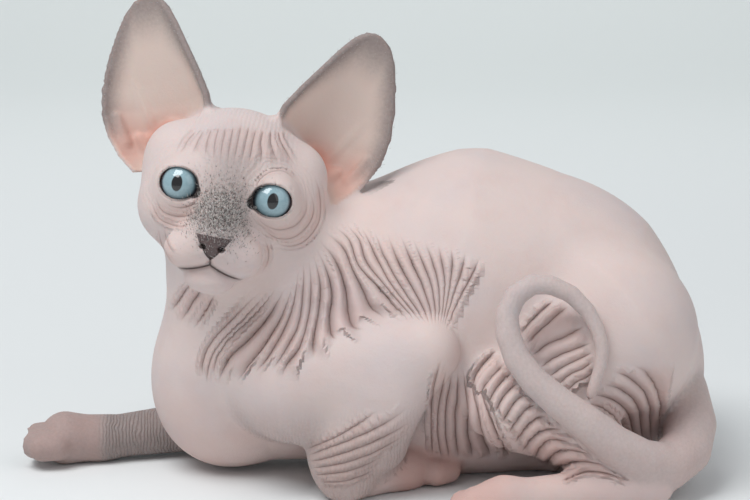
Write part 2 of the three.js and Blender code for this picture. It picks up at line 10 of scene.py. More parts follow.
import bpy
import numpy as np
from bpy.props import FloatProperty, FloatVectorProperty, IntProperty, PointerProperty
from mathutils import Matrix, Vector


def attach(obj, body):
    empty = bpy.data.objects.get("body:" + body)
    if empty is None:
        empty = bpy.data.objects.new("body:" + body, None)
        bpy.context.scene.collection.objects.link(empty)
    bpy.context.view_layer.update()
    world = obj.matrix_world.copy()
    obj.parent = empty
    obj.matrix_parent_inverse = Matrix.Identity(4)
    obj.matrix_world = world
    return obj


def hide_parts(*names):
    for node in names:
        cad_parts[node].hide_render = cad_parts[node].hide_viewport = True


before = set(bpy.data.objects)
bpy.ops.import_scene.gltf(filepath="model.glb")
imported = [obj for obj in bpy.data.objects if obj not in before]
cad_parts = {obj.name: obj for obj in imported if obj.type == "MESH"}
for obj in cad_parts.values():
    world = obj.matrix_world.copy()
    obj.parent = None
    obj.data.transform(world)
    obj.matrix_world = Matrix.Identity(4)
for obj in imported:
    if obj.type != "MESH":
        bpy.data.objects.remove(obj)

bl_info = {
    "name": "Hairless kitten",
    "version": (1, 0, 0),
    "blender": (4, 5, 0),
    "location": "3D View > Sidebar > Kitten",
    "description": "Builds a lying hairless kitten and its studio",
    "category": "Object",
}

MM = 0.001
PER_METRE = 1000.0  # millimetres
FLESH = (
    "torso",
    "neck",
    "head",
    "ear_left",
    "ear_right",
    "left_upper_arm",
    "left_forearm",
    "left_forepaw",
    "right_upper_arm",
    "right_forearm",
    "right_forepaw",
    "left_hind_leg",
    "left_hind_foot",
    "right_hind_leg",
    "right_hind_foot",
    "tail_base",
    "tail_rise",
    "tail_bend",
    "tail_tip",
)

# The middle of the outline, which the solids put at x = y = 0
MIDDLE = (-4.52, 8.01)
INSET = 0.15  # the skin lies this far inside the solids, but for the ears, whose sheets are thicker by it

# Body: each row is a rounded cone's two ends and two radii, and the width over which it melts into the rows
# before it
TRUNK_MIDDLE = 8.0
TRUNK_WIDTH = 0.84
TRUNK = (
    ((-54, -10, 29.5), (-16, 0, 51), 28.5, 44, 0),
    ((-16, 0, 51), (38, 4, 56.5), 44, 58, 20),
    ((38, 4, 56.5), (66, 0, 55), 58, 47, 20),
    ((66, 0, 55), (86, -4, 35.5), 45, 37, 20),
)
NECK = (
    ((-52, -2, 48), (-49, -6, 88), 27, 25, 0),
    ((-48, -4, 85), (-16, 4, 66), 24, 34, 14),
)
HIND_LEG = (
    ((84, -18, 56), (50, -38, 38), 34, 16, 0),
    ((50, -40, 36), (96, -46, 12), 15, 9, 10),
)
HIND_FOOT = (
    ((99, -46, 7.5), (45, -62, 7), 8, 7, 0),
    ((45, -62, 7), (36, -65, 6.6), 8.2, 6.5, 5),
)
LEFT_ARM = (
    ((-28, -24, 42), (18, -38, 56), 25, 11, 0),
    ((18, -40, 55), (-11, -39, 8.2), 11, 9, 8),
    ((-2, -34, 40), (-14, -36, 15), 15, 10, 8),
    ((8, -38, 38), (2, -36, 20), 9, 10, 6),
)
LEFT_PAW = (
    ((-10, -38, 7), (10, -24, 6.5), 8, 7.5, 0),
    ((10, -24, 6.5), (17, -19.5, 6.6), 7.6, 7, 6),
)
RIGHT_ARM = (
    ((-40, 26, 34), (-58, 24, 12), 18, 11, 0),
    ((-60, 22, 11), (-104, 9.5, 8.6), 10, 8, 8),
)
RIGHT_PAW = (((-104, 9.5, 8.6), (-117, 6.5, 9.6), 8.2, 10.2, 0),)
# Toes: heel and tip of the way that the paw points, their radius, and how far apart they are
HIND_TOES = ((45, -62, 5), (31, -66.5, 4.9), 5.1, 4.3)
LEFT_TOES = ((10, -24, 5.5), (25, -14.5, 5.6), 5.4, 4.3)
RIGHT_TOES = ((-115, 6.5, 9), (-128.5, 3.6, 8.6), 5.8, 4.7)
TOE_LENGTH = 5
TOE_TAPER = 0.96
TOE_MELT = 1.6
OUTER_TOE_BACK = 2.2  # how far the two outer toes stand back
# The near upper arm melts into the chest over a width that falls from 18 mm at the shoulder to 2 mm
SHOULDER = np.array((-32, -24, 46), np.float32)
SHOULDER_REACH = 24.0
SHOULDER_MELT = 16
ARM_MELT = 2

# Head: place, turn, and what it carries, in its own axes (x to its left, y forwards, z up)
HEAD = np.array((-52.8, -16, 105.2))
HEAD_TURN = (-1.5, 9, 10.5)  # pan, pitch and roll in degrees
EYE_AT = np.array((15.8, 17, 4))
EYE_RADIUS = 9.0
LID_THICKNESS = 1.3
EYEBALL_RADIUS = 8.55  # inside the solid eye, so that the lids over it are thick enough
SOCKET_RADIUS = 8.7
EYE_LOOK = np.array((0.16, 1, 0))
EYE_OPENING = (6.9, 5.5)  # half the width and height of the opening between the lids
EYE_CORNER = (6.6, 1.7, 1.6)  # the inner corner: how far in and down from the middle, and its radius
EAR_AT = np.array((24, -5, 18.5))
RIGHT_EAR_SHIFT = (1.8, 0, -1.2)  # the right ear is carried further out and a little lower
EAR_UP = (0.36, -0.10, 1)
EAR_LEAN = (0.42, 1, 0.05)  # the way the cup of the ear faces
EAR_BEND = 1.35  # the half angle of the arc of an ear's section
EAR_THICKNESS = 2.3

# Forms of the skull, in the head's axes: ellipsoids (middle, half axes) and rounded cones (two ends, two
# radii), each with the width over which it melts in. The forms on the sides are melted in on both.
CRANIUM = ((0, -7, 9), (27.5, 31, 25))
SKULL_MIDDLE = (
    (((0, 17, 10), (0, 31.3, -10.5), 10, 6.2), 9),
    (((0, 10, -10), (0, 25, -14), 17, 10), 9),
    (((0, 32.9, -14.4), (5.6, 4.6, 4)), 3),
    (((0, 16, -20), (0, -6, -16), 11, 15), 8),
)
SKULL_SIDES = (
    (((17, 2, -4), (15.5, 18, 16)), 9),
    (((24, -4, 12), (9.5, 12, 12)), 8),
    (((8.2, 26.4, -18), (9.4, 8.5, 7.4)), 7),
    (((0, 24.4, -27), (9.2, 7.8, 5.6)), 1.2),
)
MOUTH = ((0, 33, -21.6), (4, 32.2, -23.4), (8, 30.6, -24.8), (12, 27.2, -25.4), (15.5, 22, -24.8))
MOUTH_RADIUS = 0.85
PHILTRUM = ((0, 37.6, -17.5), (0, 36, -19.5), (0, 33.2, -21.6))
PHILTRUM_RADIUS = MOUTH_RADIUS * 0.8
NOSTRIL = ((3.2, 36.6, -15.4), (1.3, 1.8, 0.9))
NOSE = ((0, 34.5, -14.4), (6, 4, 4.4))

# The face's lines, in the head's axes. The leather of the nose reaches EDGE + WIDTH t^0.8 to each side, where
# t goes from 0 at its foot to 1 over its height. The mouth's line is z = a + b x + c x x.
LEATHER_FOOT = -19.4
LEATHER_HEIGHT = 8.2
LEATHER_WIDTH = 6.0
LEATHER_EDGE = 0.4
MOUTH_LINE = (-21.6, -0.53, 0.0187)

# An ear, from the lobe up: height, outer and inner half width, and depth of the cup
EAR_SECTIONS = np.array(
    (
        (-9, 16, 10, 11),
        (-2, 21, 13.5, 13),
        (6, 24.2, 16.5, 13.5),
        (14, 25.5, 17, 12),
        (23.5, 24, 14.8, 9.2),
        (33, 20, 12, 6.2),
        (41.5, 15.2, 9.6, 3.6),
        (48.5, 10.4, 7, 1.7),
        (52.5, 5.8, 4.2, 0.6),
        (54, 0.8, 0.8, 0.2),
    )
)

# Rolls of skin in the cup of the ear: ends and radii, in the ear's own axes
EAR_ROLLS = (
    ((2, -3, -12), (6, 2, -12.5), 2.6, 2.3),
    ((7, 4, -12.5), (5, 9, -11.5), 2.3, 2.0),
    ((1, 7, -11), (3, 12, -9.5), 2.5, 2.0),
    ((-2, 13, -8.5), (4, 15.5, -7.5), 2.4, 1.7),
    ((5, 11, -11.5), (25, 14, -6.9), 1.5, 0.9),
    ((3, 20, -4.5), (13, 21.5, -3.5), 2.0, 1.3),
    ((-3, -7, -9.5), (5, -9.5, -8.5), 2.2, 1.5),
)
EAR_ROLL_MELT = 2
EAR_RIM_ROUND = 0.5

# The tail's centre line and radius, from the rump, round the loop on the thigh, to the tip
TAIL = np.array(
    (
        (105, 4, 44.5, 11),
        (113.5, -6, 31, 10.5),
        (115.7, -20, 22.6, 9.8),
        (112.7, -33, 16.6, 9.3),
        (104.7, -43, 13.3, 8.8),
        (95.2, -50, 17.4, 8),
        (84.8, -54.5, 24.7, 7.2),
        (74.6, -57, 33.5, 6.4),
        (64.7, -57.5, 41, 5.8),
        (55.6, -57, 49, 5.2),
        (49.7, -56, 56.7, 4.8),
        (46.5, -54.5, 65, 4.5),
        (46.2, -52.5, 71.9, 4.2),
        (49.1, -51, 78.2, 4),
        (54.9, -50, 81.9, 3.75),
        (61.4, -49.5, 81.8, 3.5),
        (68.6, -49.5, 78.5, 3.25),
        (74.5, -50, 72.6, 3),
        (78.1, -51, 66.2, 2.75),
        (79.8, -52, 59.7, 2.5),
        (79.2, -52.5, 53.1, 2.3),
        (77.3, -53, 47.2, 2.1),
        (75.9, -53.5, 43, 1.9),
    )
)


# Fields, in millimetres: each takes points as an N by 3 array and is negative inside
def unit(v):
    return np.asarray(v, float) / np.linalg.norm(v)


def length(v):
    return np.sqrt(np.einsum("ij,ij->i", v, v))


def taper(p, a, b, ra, rb):
    """Distance to the nearest point of the line from a to b, less a radius that goes from ra to rb."""
    a, b = np.asarray(a, np.float32), np.asarray(b, np.float32)
    ab = b - a
    t = np.clip((p - a) @ ab / (ab @ ab), 0, 1)
    return length(p - a - t[:, None] * ab) - (ra + (rb - ra) * t)


def egg(p, centre, radii):
    """Ellipsoid: k (k - 1) / |u / r|, where u is the point over the half axes r and k is its length."""
    r = np.asarray(radii, np.float32)
    u = (p - np.asarray(centre, np.float32)) / r
    k = length(u)
    return k * (k - 1) / (length(u / r) + 1e-9)


def melt(a, b, k):
    """Union rounded over a width k: the lesser, less h squared k / 4, where h is 1 - |a - b| / k or 0."""
    h = np.maximum(k - np.abs(a - b), 0) / k
    return np.minimum(a, b) - h * h * k * 0.25


def pare(a, b, k):
    """Intersection rounded over a width k."""
    return -melt(-a, -b, k)


def cones(p, rows):
    """Rounded cones, each melted into those before it over the width at the end of its row."""
    d = taper(p, *rows[0][:4])
    for *cone, k in rows[1:]:
        d = melt(d, taper(p, *cone), k)
    return d


def form(p, shape):
    """An ellipsoid from its middle and half axes, or a rounded cone from its two ends and two radii."""
    return egg(p, *shape) if len(shape) == 2 else taper(p, *shape)


def trunk(p):
    """The trunk's cones, narrowed across to TRUNK_WIDTH of their width about its middle plane."""
    q = p.copy()
    q[:, 1] = (q[:, 1] - TRUNK_MIDDLE) / TRUNK_WIDTH
    return cones(q, TRUNK)


def toes(heel, tip, radius, spread):
    """Rows for four short cones side by side, across the way that the paw points."""
    heel, tip = np.array(heel, float), np.array(tip, float)
    along = unit(tip - heel)
    across = unit(np.cross(along, (0, 0, 1)))
    rows = []
    for n in (-1.5, -0.5, 0.5, 1.5):
        reach = -OUTER_TOE_BACK if abs(n) > 1 else 0
        place = tip + across * n * spread
        ends = (place + along * (reach - TOE_LENGTH), place + along * reach)
        rows.append((*ends, radius, radius * TOE_TAPER, TOE_MELT))
    return tuple(rows)


def hind_foot(p):
    return cones(p, HIND_FOOT + toes(*HIND_TOES))


def left_paw(p):
    return cones(p, LEFT_PAW + toes(*LEFT_TOES))


def right_paw(p):
    return cones(p, RIGHT_PAW + toes(*RIGHT_TOES))


def other_side(p):
    """Points mirrored in the trunk's middle plane."""
    q = p.copy()
    q[:, 1] = 2 * TRUNK_MIDDLE - q[:, 1]
    return q


def two_sided(h):
    """Points with x made |x|."""
    m = h.copy()
    m[:, 0] = np.abs(m[:, 0])
    return m


def head_axes():
    """The head's side, forward and up directions from its pan, pitch and roll."""
    pan, pitch, roll = np.radians(HEAD_TURN)
    ahead = np.array((math.sin(pan) * math.cos(pitch), -math.cos(pan) * math.cos(pitch), math.sin(pitch)))
    level = np.array((math.cos(pan), math.sin(pan), 0))
    over = np.cross(ahead, level)
    side = level * math.cos(roll) - over * math.sin(roll)
    up = over * math.cos(roll) + level * math.sin(roll)
    return np.stack((side, ahead, up))


HEAD_AXES = head_axes()
HEAD_AXES_32 = HEAD_AXES.astype(np.float32)


def to_head(p):
    return (p - HEAD.astype(np.float32)) @ HEAD_AXES_32.T


def on_head(v):
    return HEAD + np.asarray(v, float) @ HEAD_AXES


def skull(h):
    """Skull, cheeks, muzzle and chin, in the head's own axes."""
    d = egg(h, *CRANIUM)
    for shape, k in SKULL_MIDDLE:
        d = melt(d, form(h, shape), k)
    m = two_sided(h)
    for shape, k in SKULL_SIDES:
        d = melt(d, form(m, shape), k)
    return d


def ear_axes():
    """The left ear's up, out and cup directions in the head's axes."""
    up = unit(EAR_UP)
    lean = np.array(EAR_LEAN)
    cup = unit(lean - up * (lean @ up))
    out = np.cross(cup, up)
    return np.stack((up, out, cup)).astype(np.float32)


EAR_AXES = ear_axes()


def ear_local(m, hand):
    """The head's axes with x as |x|, to an ear's own: up, outwards and forwards. Hand is -1 on the right."""
    carried = np.where(hand[:, None] < 0, np.asarray(RIGHT_EAR_SHIFT, np.float32), np.float32(0))
    return (m - EAR_AT.astype(np.float32) - carried) @ EAR_AXES.T


def ear_place(q):
    """Distances in an ear's own axes: off the middle of its sheet, out past its rim, and down past its foot.
    The sheet's section is c = -depth (sqrt(1 - (s b / w)^2) - cos) / (1 - cos), where s and cos are the sine
    and cosine of EAR_BEND, b the way across and w the half width."""
    a, b, c = q[:, 0], q[:, 1], q[:, 2]
    outer = np.interp(a, EAR_SECTIONS[:, 0], EAR_SECTIONS[:, 1])
    inner = np.interp(a, EAR_SECTIONS[:, 0], EAR_SECTIONS[:, 2])
    depth = np.interp(a, EAR_SECTIONS[:, 0], EAR_SECTIONS[:, 3])
    wide = np.where(b > 0, outer, inner)
    s, cos = math.sin(EAR_BEND), math.cos(EAR_BEND)
    inside = np.clip(b / wide, -1, 1)
    root = np.sqrt(1 - (s * inside) ** 2)
    slope = depth * s * s * inside / (wide * root * (1 - cos))
    sheet = -depth * (root - cos) / (1 - cos) + slope * (b - wide * inside)
    steep = np.sqrt(1 + slope * slope)
    off = (c - sheet) / steep
    edge = depth * s * s / (wide * cos * (1 - cos))
    rim = (np.abs(b) - wide + edge * c) / np.sqrt(1 + edge * edge)
    rim = np.maximum(rim, a - EAR_SECTIONS[-1, 0])
    return off, rim, EAR_SECTIONS[0, 0] - a


def ear(m, hand):
    """A cupped sheet, cut at its rim and foot, with the rolls melted in."""
    q = ear_local(m, hand)
    off, rim, low = ear_place(q)
    d = pare(np.abs(off) - (EAR_THICKNESS / 2 + INSET), np.maximum(rim, low), EAR_RIM_ROUND)
    for roll in EAR_ROLLS:
        d = melt(d, taper(q, *roll), EAR_ROLL_MELT)
    return d


def eye_frame():
    """The left eye's across, look and up directions in the head's axes."""
    look = unit(EYE_LOOK)
    across = unit(np.cross(look, (0, 0, 1)))
    return np.stack((across, look, np.cross(across, look))).astype(np.float32)


EYE_AXES = eye_frame()


def lids(d, m):
    """Melts the lids' ball in and opens it: an almond column is taken out, and the eye's own ball."""
    e = m - EYE_AT.astype(np.float32)
    r = length(e)
    d = melt(d, r - (EYE_RADIUS + LID_THICKNESS), 5)
    q = e @ EYE_AXES.T
    x, z = q[:, 0] / EYE_OPENING[0], q[:, 2] / EYE_OPENING[1]
    hole = (np.sqrt(x * x + z * z) - 1) * EYE_OPENING[1]
    hole = melt(hole, np.hypot(q[:, 0] + EYE_CORNER[0], q[:, 2] + EYE_CORNER[1]) - EYE_CORNER[2], 1.2)
    d = pare(d, -np.maximum(hole, 2 - q[:, 1]), 1.0)
    bowl = np.maximum(np.maximum(r - SOCKET_RADIUS, hole - 0.7), 1 - q[:, 1])
    return np.maximum(d, -bowl)


def tube(p, points, radius):
    return np.minimum.reduce([taper(p, a, b, radius, radius) for a, b in zip(points, points[1:])])


def tail(p):
    return np.minimum.reduce([taper(p, a[:3], b[:3], a[3], b[3]) for a, b in zip(TAIL, TAIL[1:])])


def kitten(p):
    """All the flesh: trunk, neck, limbs, head with its ears, lids and mouth, and tail, above the floor."""
    p = p.astype(np.float32)
    h = to_head(p)
    m = two_sided(h)
    d = melt(trunk(p), cones(p, NECK), 16)
    for side in (p, other_side(p)):
        d = melt(d, melt(cones(side, HIND_LEG), hind_foot(side), 6), 7)
    d = melt(d, melt(cones(p, RIGHT_ARM), right_paw(p), 4), 8)
    shoulder = np.exp(-(length(p - SHOULDER) ** 2) / SHOULDER_REACH**2)
    d = melt(d, cones(p, LEFT_ARM), ARM_MELT + SHOULDER_MELT * shoulder)
    d = melt(d, left_paw(p), 3)
    d = lids(melt(d, skull(h), 8), m)
    d = pare(d, -tube(m, MOUTH, MOUTH_RADIUS), 1.2)
    d = pare(d, -tube(h, PHILTRUM, PHILTRUM_RADIUS), 1)
    d = pare(d, -egg(m, *NOSTRIL), 0.8)
    d = melt(d, ear(m, h[:, 0]), 4)
    d = melt(d, tail(p), 1.5)
    return np.maximum(d, -p[:, 2]) + INSET


# Surface of a field: the grid's lines run over REACH, and are finest over FINE_REACH, round the head. REACH
# stops about 3 mm short of the far paw's tip, so the skin is open there
REACH = ((-131, 128), (-76, 96), (-2, 184))
FINE_REACH = ((-100, 4), (-58, 8), (76, 182))
BLOCK = 8  # cells along each side of a block
STEEPEST = 1.35  # most change of the field over a millimetre, on average over a block
SLACK = 2.5
SETTLINGS = 3
LONGEST_MOVE = 1.5


def graded(low, high, fine_low, fine_high, coarse, fine):
    """Grid lines from low to high, `fine` apart between fine_low and fine_high and `coarse` elsewhere."""
    middle = np.arange(fine_low, fine_high, fine)
    before = fine_low - np.arange(1, math.ceil((fine_low - low) / coarse) + 1)[::-1] * coarse
    after = middle[-1] + np.arange(1, math.ceil((high - middle[-1]) / coarse) + 1) * coarse
    return np.concatenate((before, middle, after))


def sampled(field, lines):
    """The field on the whole grid. Blocks of cells that the surface can't reach take one value."""
    count = [len(axis) for axis in lines]
    value = np.empty(count, np.float32)
    starts = [range(0, n, BLOCK) for n in count]
    for i in starts[0]:
        blocks = [
            tuple(slice(start, start + BLOCK) for start in (i, j, k)) for j in starts[1] for k in starts[2]
        ]
        spans = [[axis[part] for axis, part in zip(lines, block)] for block in blocks]
        centres = np.array([[(s[0] + s[-1]) / 2 for s in span] for span in spans])
        halves = np.array([np.linalg.norm([(s[-1] - s[0]) / 2 for s in span]) for span in spans])
        middle = field(centres)
        near = np.abs(middle) < STEEPEST * halves + SLACK
        for n in np.flatnonzero(~near):
            value[blocks[n]] = middle[n]
        wanted = np.flatnonzero(near)
        if not len(wanted):
            continue
        grids = [np.stack(np.meshgrid(*spans[n], indexing="ij"), -1) for n in wanted]
        flat = field(np.concatenate([g.reshape(-1, 3) for g in grids]))
        ends = np.cumsum([g.size // 3 for g in grids])
        for n, g, piece in zip(wanted, grids, np.split(flat, ends[:-1])):
            value[blocks[n]] = piece.reshape(g.shape[:3])
    return value


def surface(field, lines):
    """One corner for each cell that the surface crosses, at the mean of its crossed edges' crossings, then
    moved down the field's slope on to the surface. One four-sided face for each crossed grid edge."""
    value = sampled(field, lines)
    inside = value < 0
    cells = [len(axis) - 1 for axis in lines]
    flat_ids, places, faces = [], [], []
    for axis in range(3):
        b, c = (axis + 1) % 3, (axis + 2) % 3
        here = [slice(1, -1)] * 3
        there = [slice(1, -1)] * 3
        here[axis], there[axis] = slice(0, -1), slice(1, None)
        crossed = inside[tuple(here)] != inside[tuple(there)]
        index = np.argwhere(crossed)
        index[:, [b, c]] += 1
        ahead = index.copy()
        ahead[:, axis] += 1
        va, vb = value[tuple(index.T)], value[tuple(ahead.T)]
        point = np.stack([lines[n][index[:, n]] for n in range(3)], 1)
        step = lines[axis][ahead[:, axis]] - point[:, axis]
        point[:, axis] += step * va / (va - vb)
        ring = []
        for db, dc in ((0, 0), (1, 0), (1, 1), (0, 1)):
            cell = index.copy()
            cell[:, b] -= db
            cell[:, c] -= dc
            ring.append(np.ravel_multi_index(tuple(cell.T), cells))
            places.append(point)
        flat_ids += ring
        quad = np.stack(ring, 1)
        faces.append(np.where((va < 0)[:, None], quad, quad[:, ::-1]))
    ids = np.concatenate(flat_ids)
    places = np.concatenate(places)
    used, number = np.unique(ids, return_inverse=True)
    share = np.bincount(number)
    points = np.stack([np.bincount(number, places[:, n]) / share for n in range(3)], 1)
    quads = np.searchsorted(used, np.concatenate(faces))
    reach = np.minimum(np.gradient(lines[0]).max(), LONGEST_MOVE)
    for _ in range(SETTLINGS):
        points = settled(field, points, reach)
    return points, quads


def slope(field, points, step=0.2):
    """The field's slope at each point, from its change over a step to either side."""
    g = np.empty_like(points)
    for axis in range(3):
        shift = np.zeros(3)
        shift[axis] = step
        g[:, axis] = (field(points + shift) - field(points - shift)) / (2 * step)
    return g


def settled(field, points, reach):
    """Points moved down the slope g by value / |g|^2 times g, at most half of reach."""
    g = slope(field, points)
    move = field(points) / np.maximum((g * g).sum(1), 0.05)
    return points - np.clip(move, -reach / 2, reach / 2)[:, None] * g


def normals_of(points, quads):
    """Corner normals: the sum of the cross products of each face's diagonals."""
    a = points[quads[:, 2]] - points[quads[:, 0]]
    b = points[quads[:, 3]] - points[quads[:, 1]]
    n = np.cross(a, b)
    total = np.zeros_like(points)
    for corner in range(4):
        for axis in range(3):
            total[:, axis] += np.bincount(quads[:, corner], n[:, axis], len(points))
    return total / (np.linalg.norm(total, axis=1, keepdims=True) + 1e-12)


# Drawing plane: the strokes of the folds are drawn on the view of the kitten's left side, in pixels of a
# 750 by 500 picture taken from 900 mm off and 12 degrees up, 0.37 mm a pixel at the middle
VIEW_DISTANCE = 900.0
VIEW_UP = math.radians(12)
VIEW_HEIGHT = 83.7
PIXEL = 0.37
PICTURE = (750, 500)
LINE_STEPS = 6  # straight pieces between two points of a drawn line
OVERRUN = 4  # how many times its length the first piece runs back, and the last one runs on
FADE_APART = (2.6, 4.0)  # times the usual gap at which lines that splay out fade
RELIEF_GAP = (2.6, 4.6)  # folds closer than the first, in mm, are bump alone, and past the second full relief
RIDGE_MEAN = 0.72  # the part of a ridge that lies below the unfolded skin
SIDE_FADE = (0.35, 0.8)  # times the usual gap beyond the outer lines over which a family fades
NEARNESS = 0.01  # how much a near line counts beside a strong one where two families meet
FACING = (-0.25, 0.2)  # how far skin must face sideways to be folded


def drawn(points):
    """Where points fall in the picture of the left side, with the right side's folded over on to it."""
    y = np.where(points[:, 1] > TRUNK_MIDDLE, 2 * TRUNK_MIDDLE - points[:, 1], points[:, 1])
    q = np.stack((points[:, 0], y, points[:, 2] - VIEW_HEIGHT), 1)
    s, c = math.sin(VIEW_UP), math.cos(VIEW_UP)
    away = VIEW_DISTANCE + q[:, 1] * c - q[:, 2] * s
    rise = q[:, 1] * s + q[:, 2] * c
    share = VIEW_DISTANCE / away / PIXEL
    return np.stack((PICTURE[0] / 2 + q[:, 0] * share, PICTURE[1] / 2 - rise * share), 1)


def smooth_step(x, low, high):
    t = np.clip((x - low) / (high - low), 0, 1)
    return t * t * (3 - 2 * t)


def stroke(place, points):
    """Distance from each place to a smooth line through the points, drawn on straight at its ends, negative
    on the line's left, and the share of the way along it."""
    fine = smooth_line(points, LINE_STEPS)
    best = np.full(len(place), 1e9)
    along = np.zeros(len(place))
    left = np.zeros(len(place), bool)
    for n, (a, b) in enumerate(zip(fine, fine[1:])):
        ab = b - a
        first, final = n == 0, n == len(fine) - 2
        t = np.clip((place - a) @ ab / (ab @ ab), -OVERRUN if first else 0, 1 + OVERRUN if final else 1)
        d = np.linalg.norm(place - a - t[:, None] * ab, axis=1)
        nearer = d < best
        best[nearer] = d[nearer]
        along[nearer] = (n + t[nearer]) / (len(fine) - 1)
        across = ab[0] * (place[nearer, 1] - a[1]) - ab[1] * (place[nearer, 0] - a[0])
        left[nearer] = across < 0
    return np.where(left, -best, best), along


def smooth_line(points, steps):
    """A line through all the points, with the tangent at each parallel to the line between its neighbours."""
    points = np.asarray(points, float)
    padded = np.vstack((2 * points[0] - points[1], points, 2 * points[-1] - points[-2]))
    rows = []
    for p0, p1, p2, p3 in zip(padded, padded[1:], padded[2:], padded[3:]):
        t = np.linspace(0, 1, steps, endpoint=False)[:, None]
        rows.append(
            0.5 * (2 * p1 + (p2 - p0) * t + (2 * p0 - 5 * p1 + 4 * p2 - p3) * t**2)
            + 0.5 * (3 * p1 - p0 - 3 * p2 + p3) * t**3
        )
    return np.vstack(rows + [points[-1:]])


# Lines of the folds, each from its head to its foot, in order across the family
NECK_FOLDS = (
    ((261, 291), (236, 316), (211, 343), (203, 364), (204, 376)),
    ((270, 289), (247, 316), (219, 345), (209, 366), (206, 387)),
    ((278, 285), (259, 309), (232, 335), (217, 357), (213, 380)),
    ((287, 285), (270, 314), (247, 339), (226, 360), (217, 387)),
    ((294, 280), (283, 314), (264, 344), (246, 366), (236, 383)),
    ((299, 262), (294, 300), (284, 330), (268, 356), (254, 374)),
    ((304, 256), (303, 290), (298, 325), (284, 352), (271, 372)),
    ((308, 253), (311, 286), (308, 318), (299, 347), (287, 362), (281, 380)),
    ((312, 250), (320, 284), (318, 314), (312, 341), (313, 362)),
    ((314, 245), (327, 272), (332, 296), (329, 316), (331, 333), (338, 341)),
    ((317, 238), (335, 260), (344, 284), (348, 308), (353, 324), (366, 331)),
    ((324, 231), (343, 247), (353, 270), (362, 290), (371, 308), (390, 320)),
    ((333, 225), (349, 240), (359, 266), (379, 288), (397, 308), (411, 322)),
    ((345, 222), (359, 240), (367, 263), (388, 289), (406, 310), (418, 323)),
    ((361, 225), (373, 250), (389, 281), (409, 308), (423, 324)),
    ((374, 229), (385, 258), (400, 285), (417, 311), (427, 325)),
    ((387, 231), (398, 261), (411, 286), (424, 310), (430, 326)),
    ((400, 233), (411, 260), (422, 285), (430, 308), (433, 327)),
    ((412, 237), (423, 263), (431, 284), (435, 307), (436, 327)),
    ((424, 240), (433, 263), (438, 284), (440, 307), (438, 328)),
    ((438, 243), (442, 263), (445, 284), (443, 308), (440, 329)),
    ((451, 246), (452, 264), (450, 284), (446, 308), (442, 330)),
    ((465, 250), (462, 270), (455, 290), (448, 312), (443, 331)),
    ((481, 256), (473, 274), (462, 293), (452, 313), (445, 332)),
)
CHIN_FOLDS = (
    ((192, 282), (180, 298), (170, 312)),
    ((204, 288), (191, 304), (180, 324)),
    ((216, 294), (205, 312), (193, 330)),
)
FLANK_FOLDS = (
    ((442, 358), (434, 388), (431, 420), (433, 456)),
    ((448, 366), (440, 398), (437, 428), (441, 458)),
    ((453, 368), (447, 398), (445, 428), (449, 459)),
    ((458, 368), (457, 396), (455, 426), (458, 459)),
    ((463, 367), (466, 398), (467, 428), (473, 458)),
    ((467, 366), (476, 404), (480, 432), (491, 457)),
    ((470, 362), (485, 404), (496, 434), (510, 456)),
)
KNEE_FOLDS = (
    ((471, 392), (473, 376), (484, 361), (497, 350)),
    ((480, 398), (483, 385), (494, 372), (505, 363)),
    ((488, 404), (493, 392), (503, 379), (513, 372)),
    ((496, 412), (500, 401), (510, 389), (521, 382)),
    ((503, 423), (508, 412), (518, 399), (529, 393)),
    ((509, 433), (516, 422), (526, 410), (538, 403)),
    ((515, 443), (523, 432), (534, 421), (548, 415)),
    ((522, 452), (531, 440), (544, 431), (562, 430)),
    ((534, 460), (541, 448), (553, 440), (574, 444)),
    ((546, 467), (554, 455), (572, 450), (592, 455)),
    ((553, 474), (568, 464), (590, 462), (614, 467)),
    ((560, 482), (582, 472), (606, 473), (632, 482)),
)
THIGH_FOLDS = (
    ((520, 336), (531, 321), (543, 309), (553, 301)),
    ((526, 346), (538, 331), (554, 317), (569, 306)),
    ((530, 357), (545, 345), (566, 336), (586, 325)),
    ((539, 368), (553, 358), (573, 350), (592, 343)),
    ((548, 378), (561, 368), (578, 360), (594, 352)),
    ((557, 386), (569, 375), (583, 369), (594, 362)),
    ((566, 393), (577, 382), (588, 377), (594, 371)),
)
RUMP_FOLDS = (
    ((584, 402), (604, 409), (619, 421), (627, 436)),
    ((590, 394), (612, 400), (628, 414), (634, 438)),
    ((602, 384), (623, 392), (638, 408), (642, 441)),
    ((612, 371), (632, 380), (648, 400), (651, 445)),
    ((622, 360), (645, 372), (660, 400), (657, 448)),
    ((676, 405), (667, 424), (659, 448)),
)
TAIL_ROOT_FOLD = (((706, 404), (694, 424), (677, 440), (658, 450)),)
ARM_FOLDS = (
    ((304, 450), (330, 440), (358, 424), (380, 408)),
    ((306, 456), (330, 447), (360, 436), (388, 422), (412, 404)),
    ((306, 462), (332, 457), (364, 446), (394, 432), (416, 418)),
    ((308, 468), (336, 465), (366, 456), (392, 443), (412, 430)),
    ((312, 475), (340, 473), (366, 465), (390, 453)),
    ((318, 482), (342, 482), (364, 475), (378, 467)),
)
BROW_FOLDS = (
    ((196, 131), (186, 142), (178, 156)),
    ((204, 130), (197, 142), (191, 156)),
    ((212, 128), (207, 142), (204, 160)),
    ((219, 127), (215, 142), (213, 166)),
    ((226, 126), (223, 141), (221, 152), (219, 170)),
    ((234, 125), (231, 140), (229, 152), (226, 174)),
    ((242, 124), (238, 141), (236, 152), (232, 172)),
    ((250, 126), (246, 141), (244, 152), (239, 172)),
    ((257, 128), (253, 142), (251, 154), (247, 170)),
    ((264, 129), (261, 142), (262, 154), (259, 166)),
    ((271, 129), (271, 142), (275, 154), (280, 166)),
    ((278, 130), (281, 141), (288, 153), (296, 166)),
)
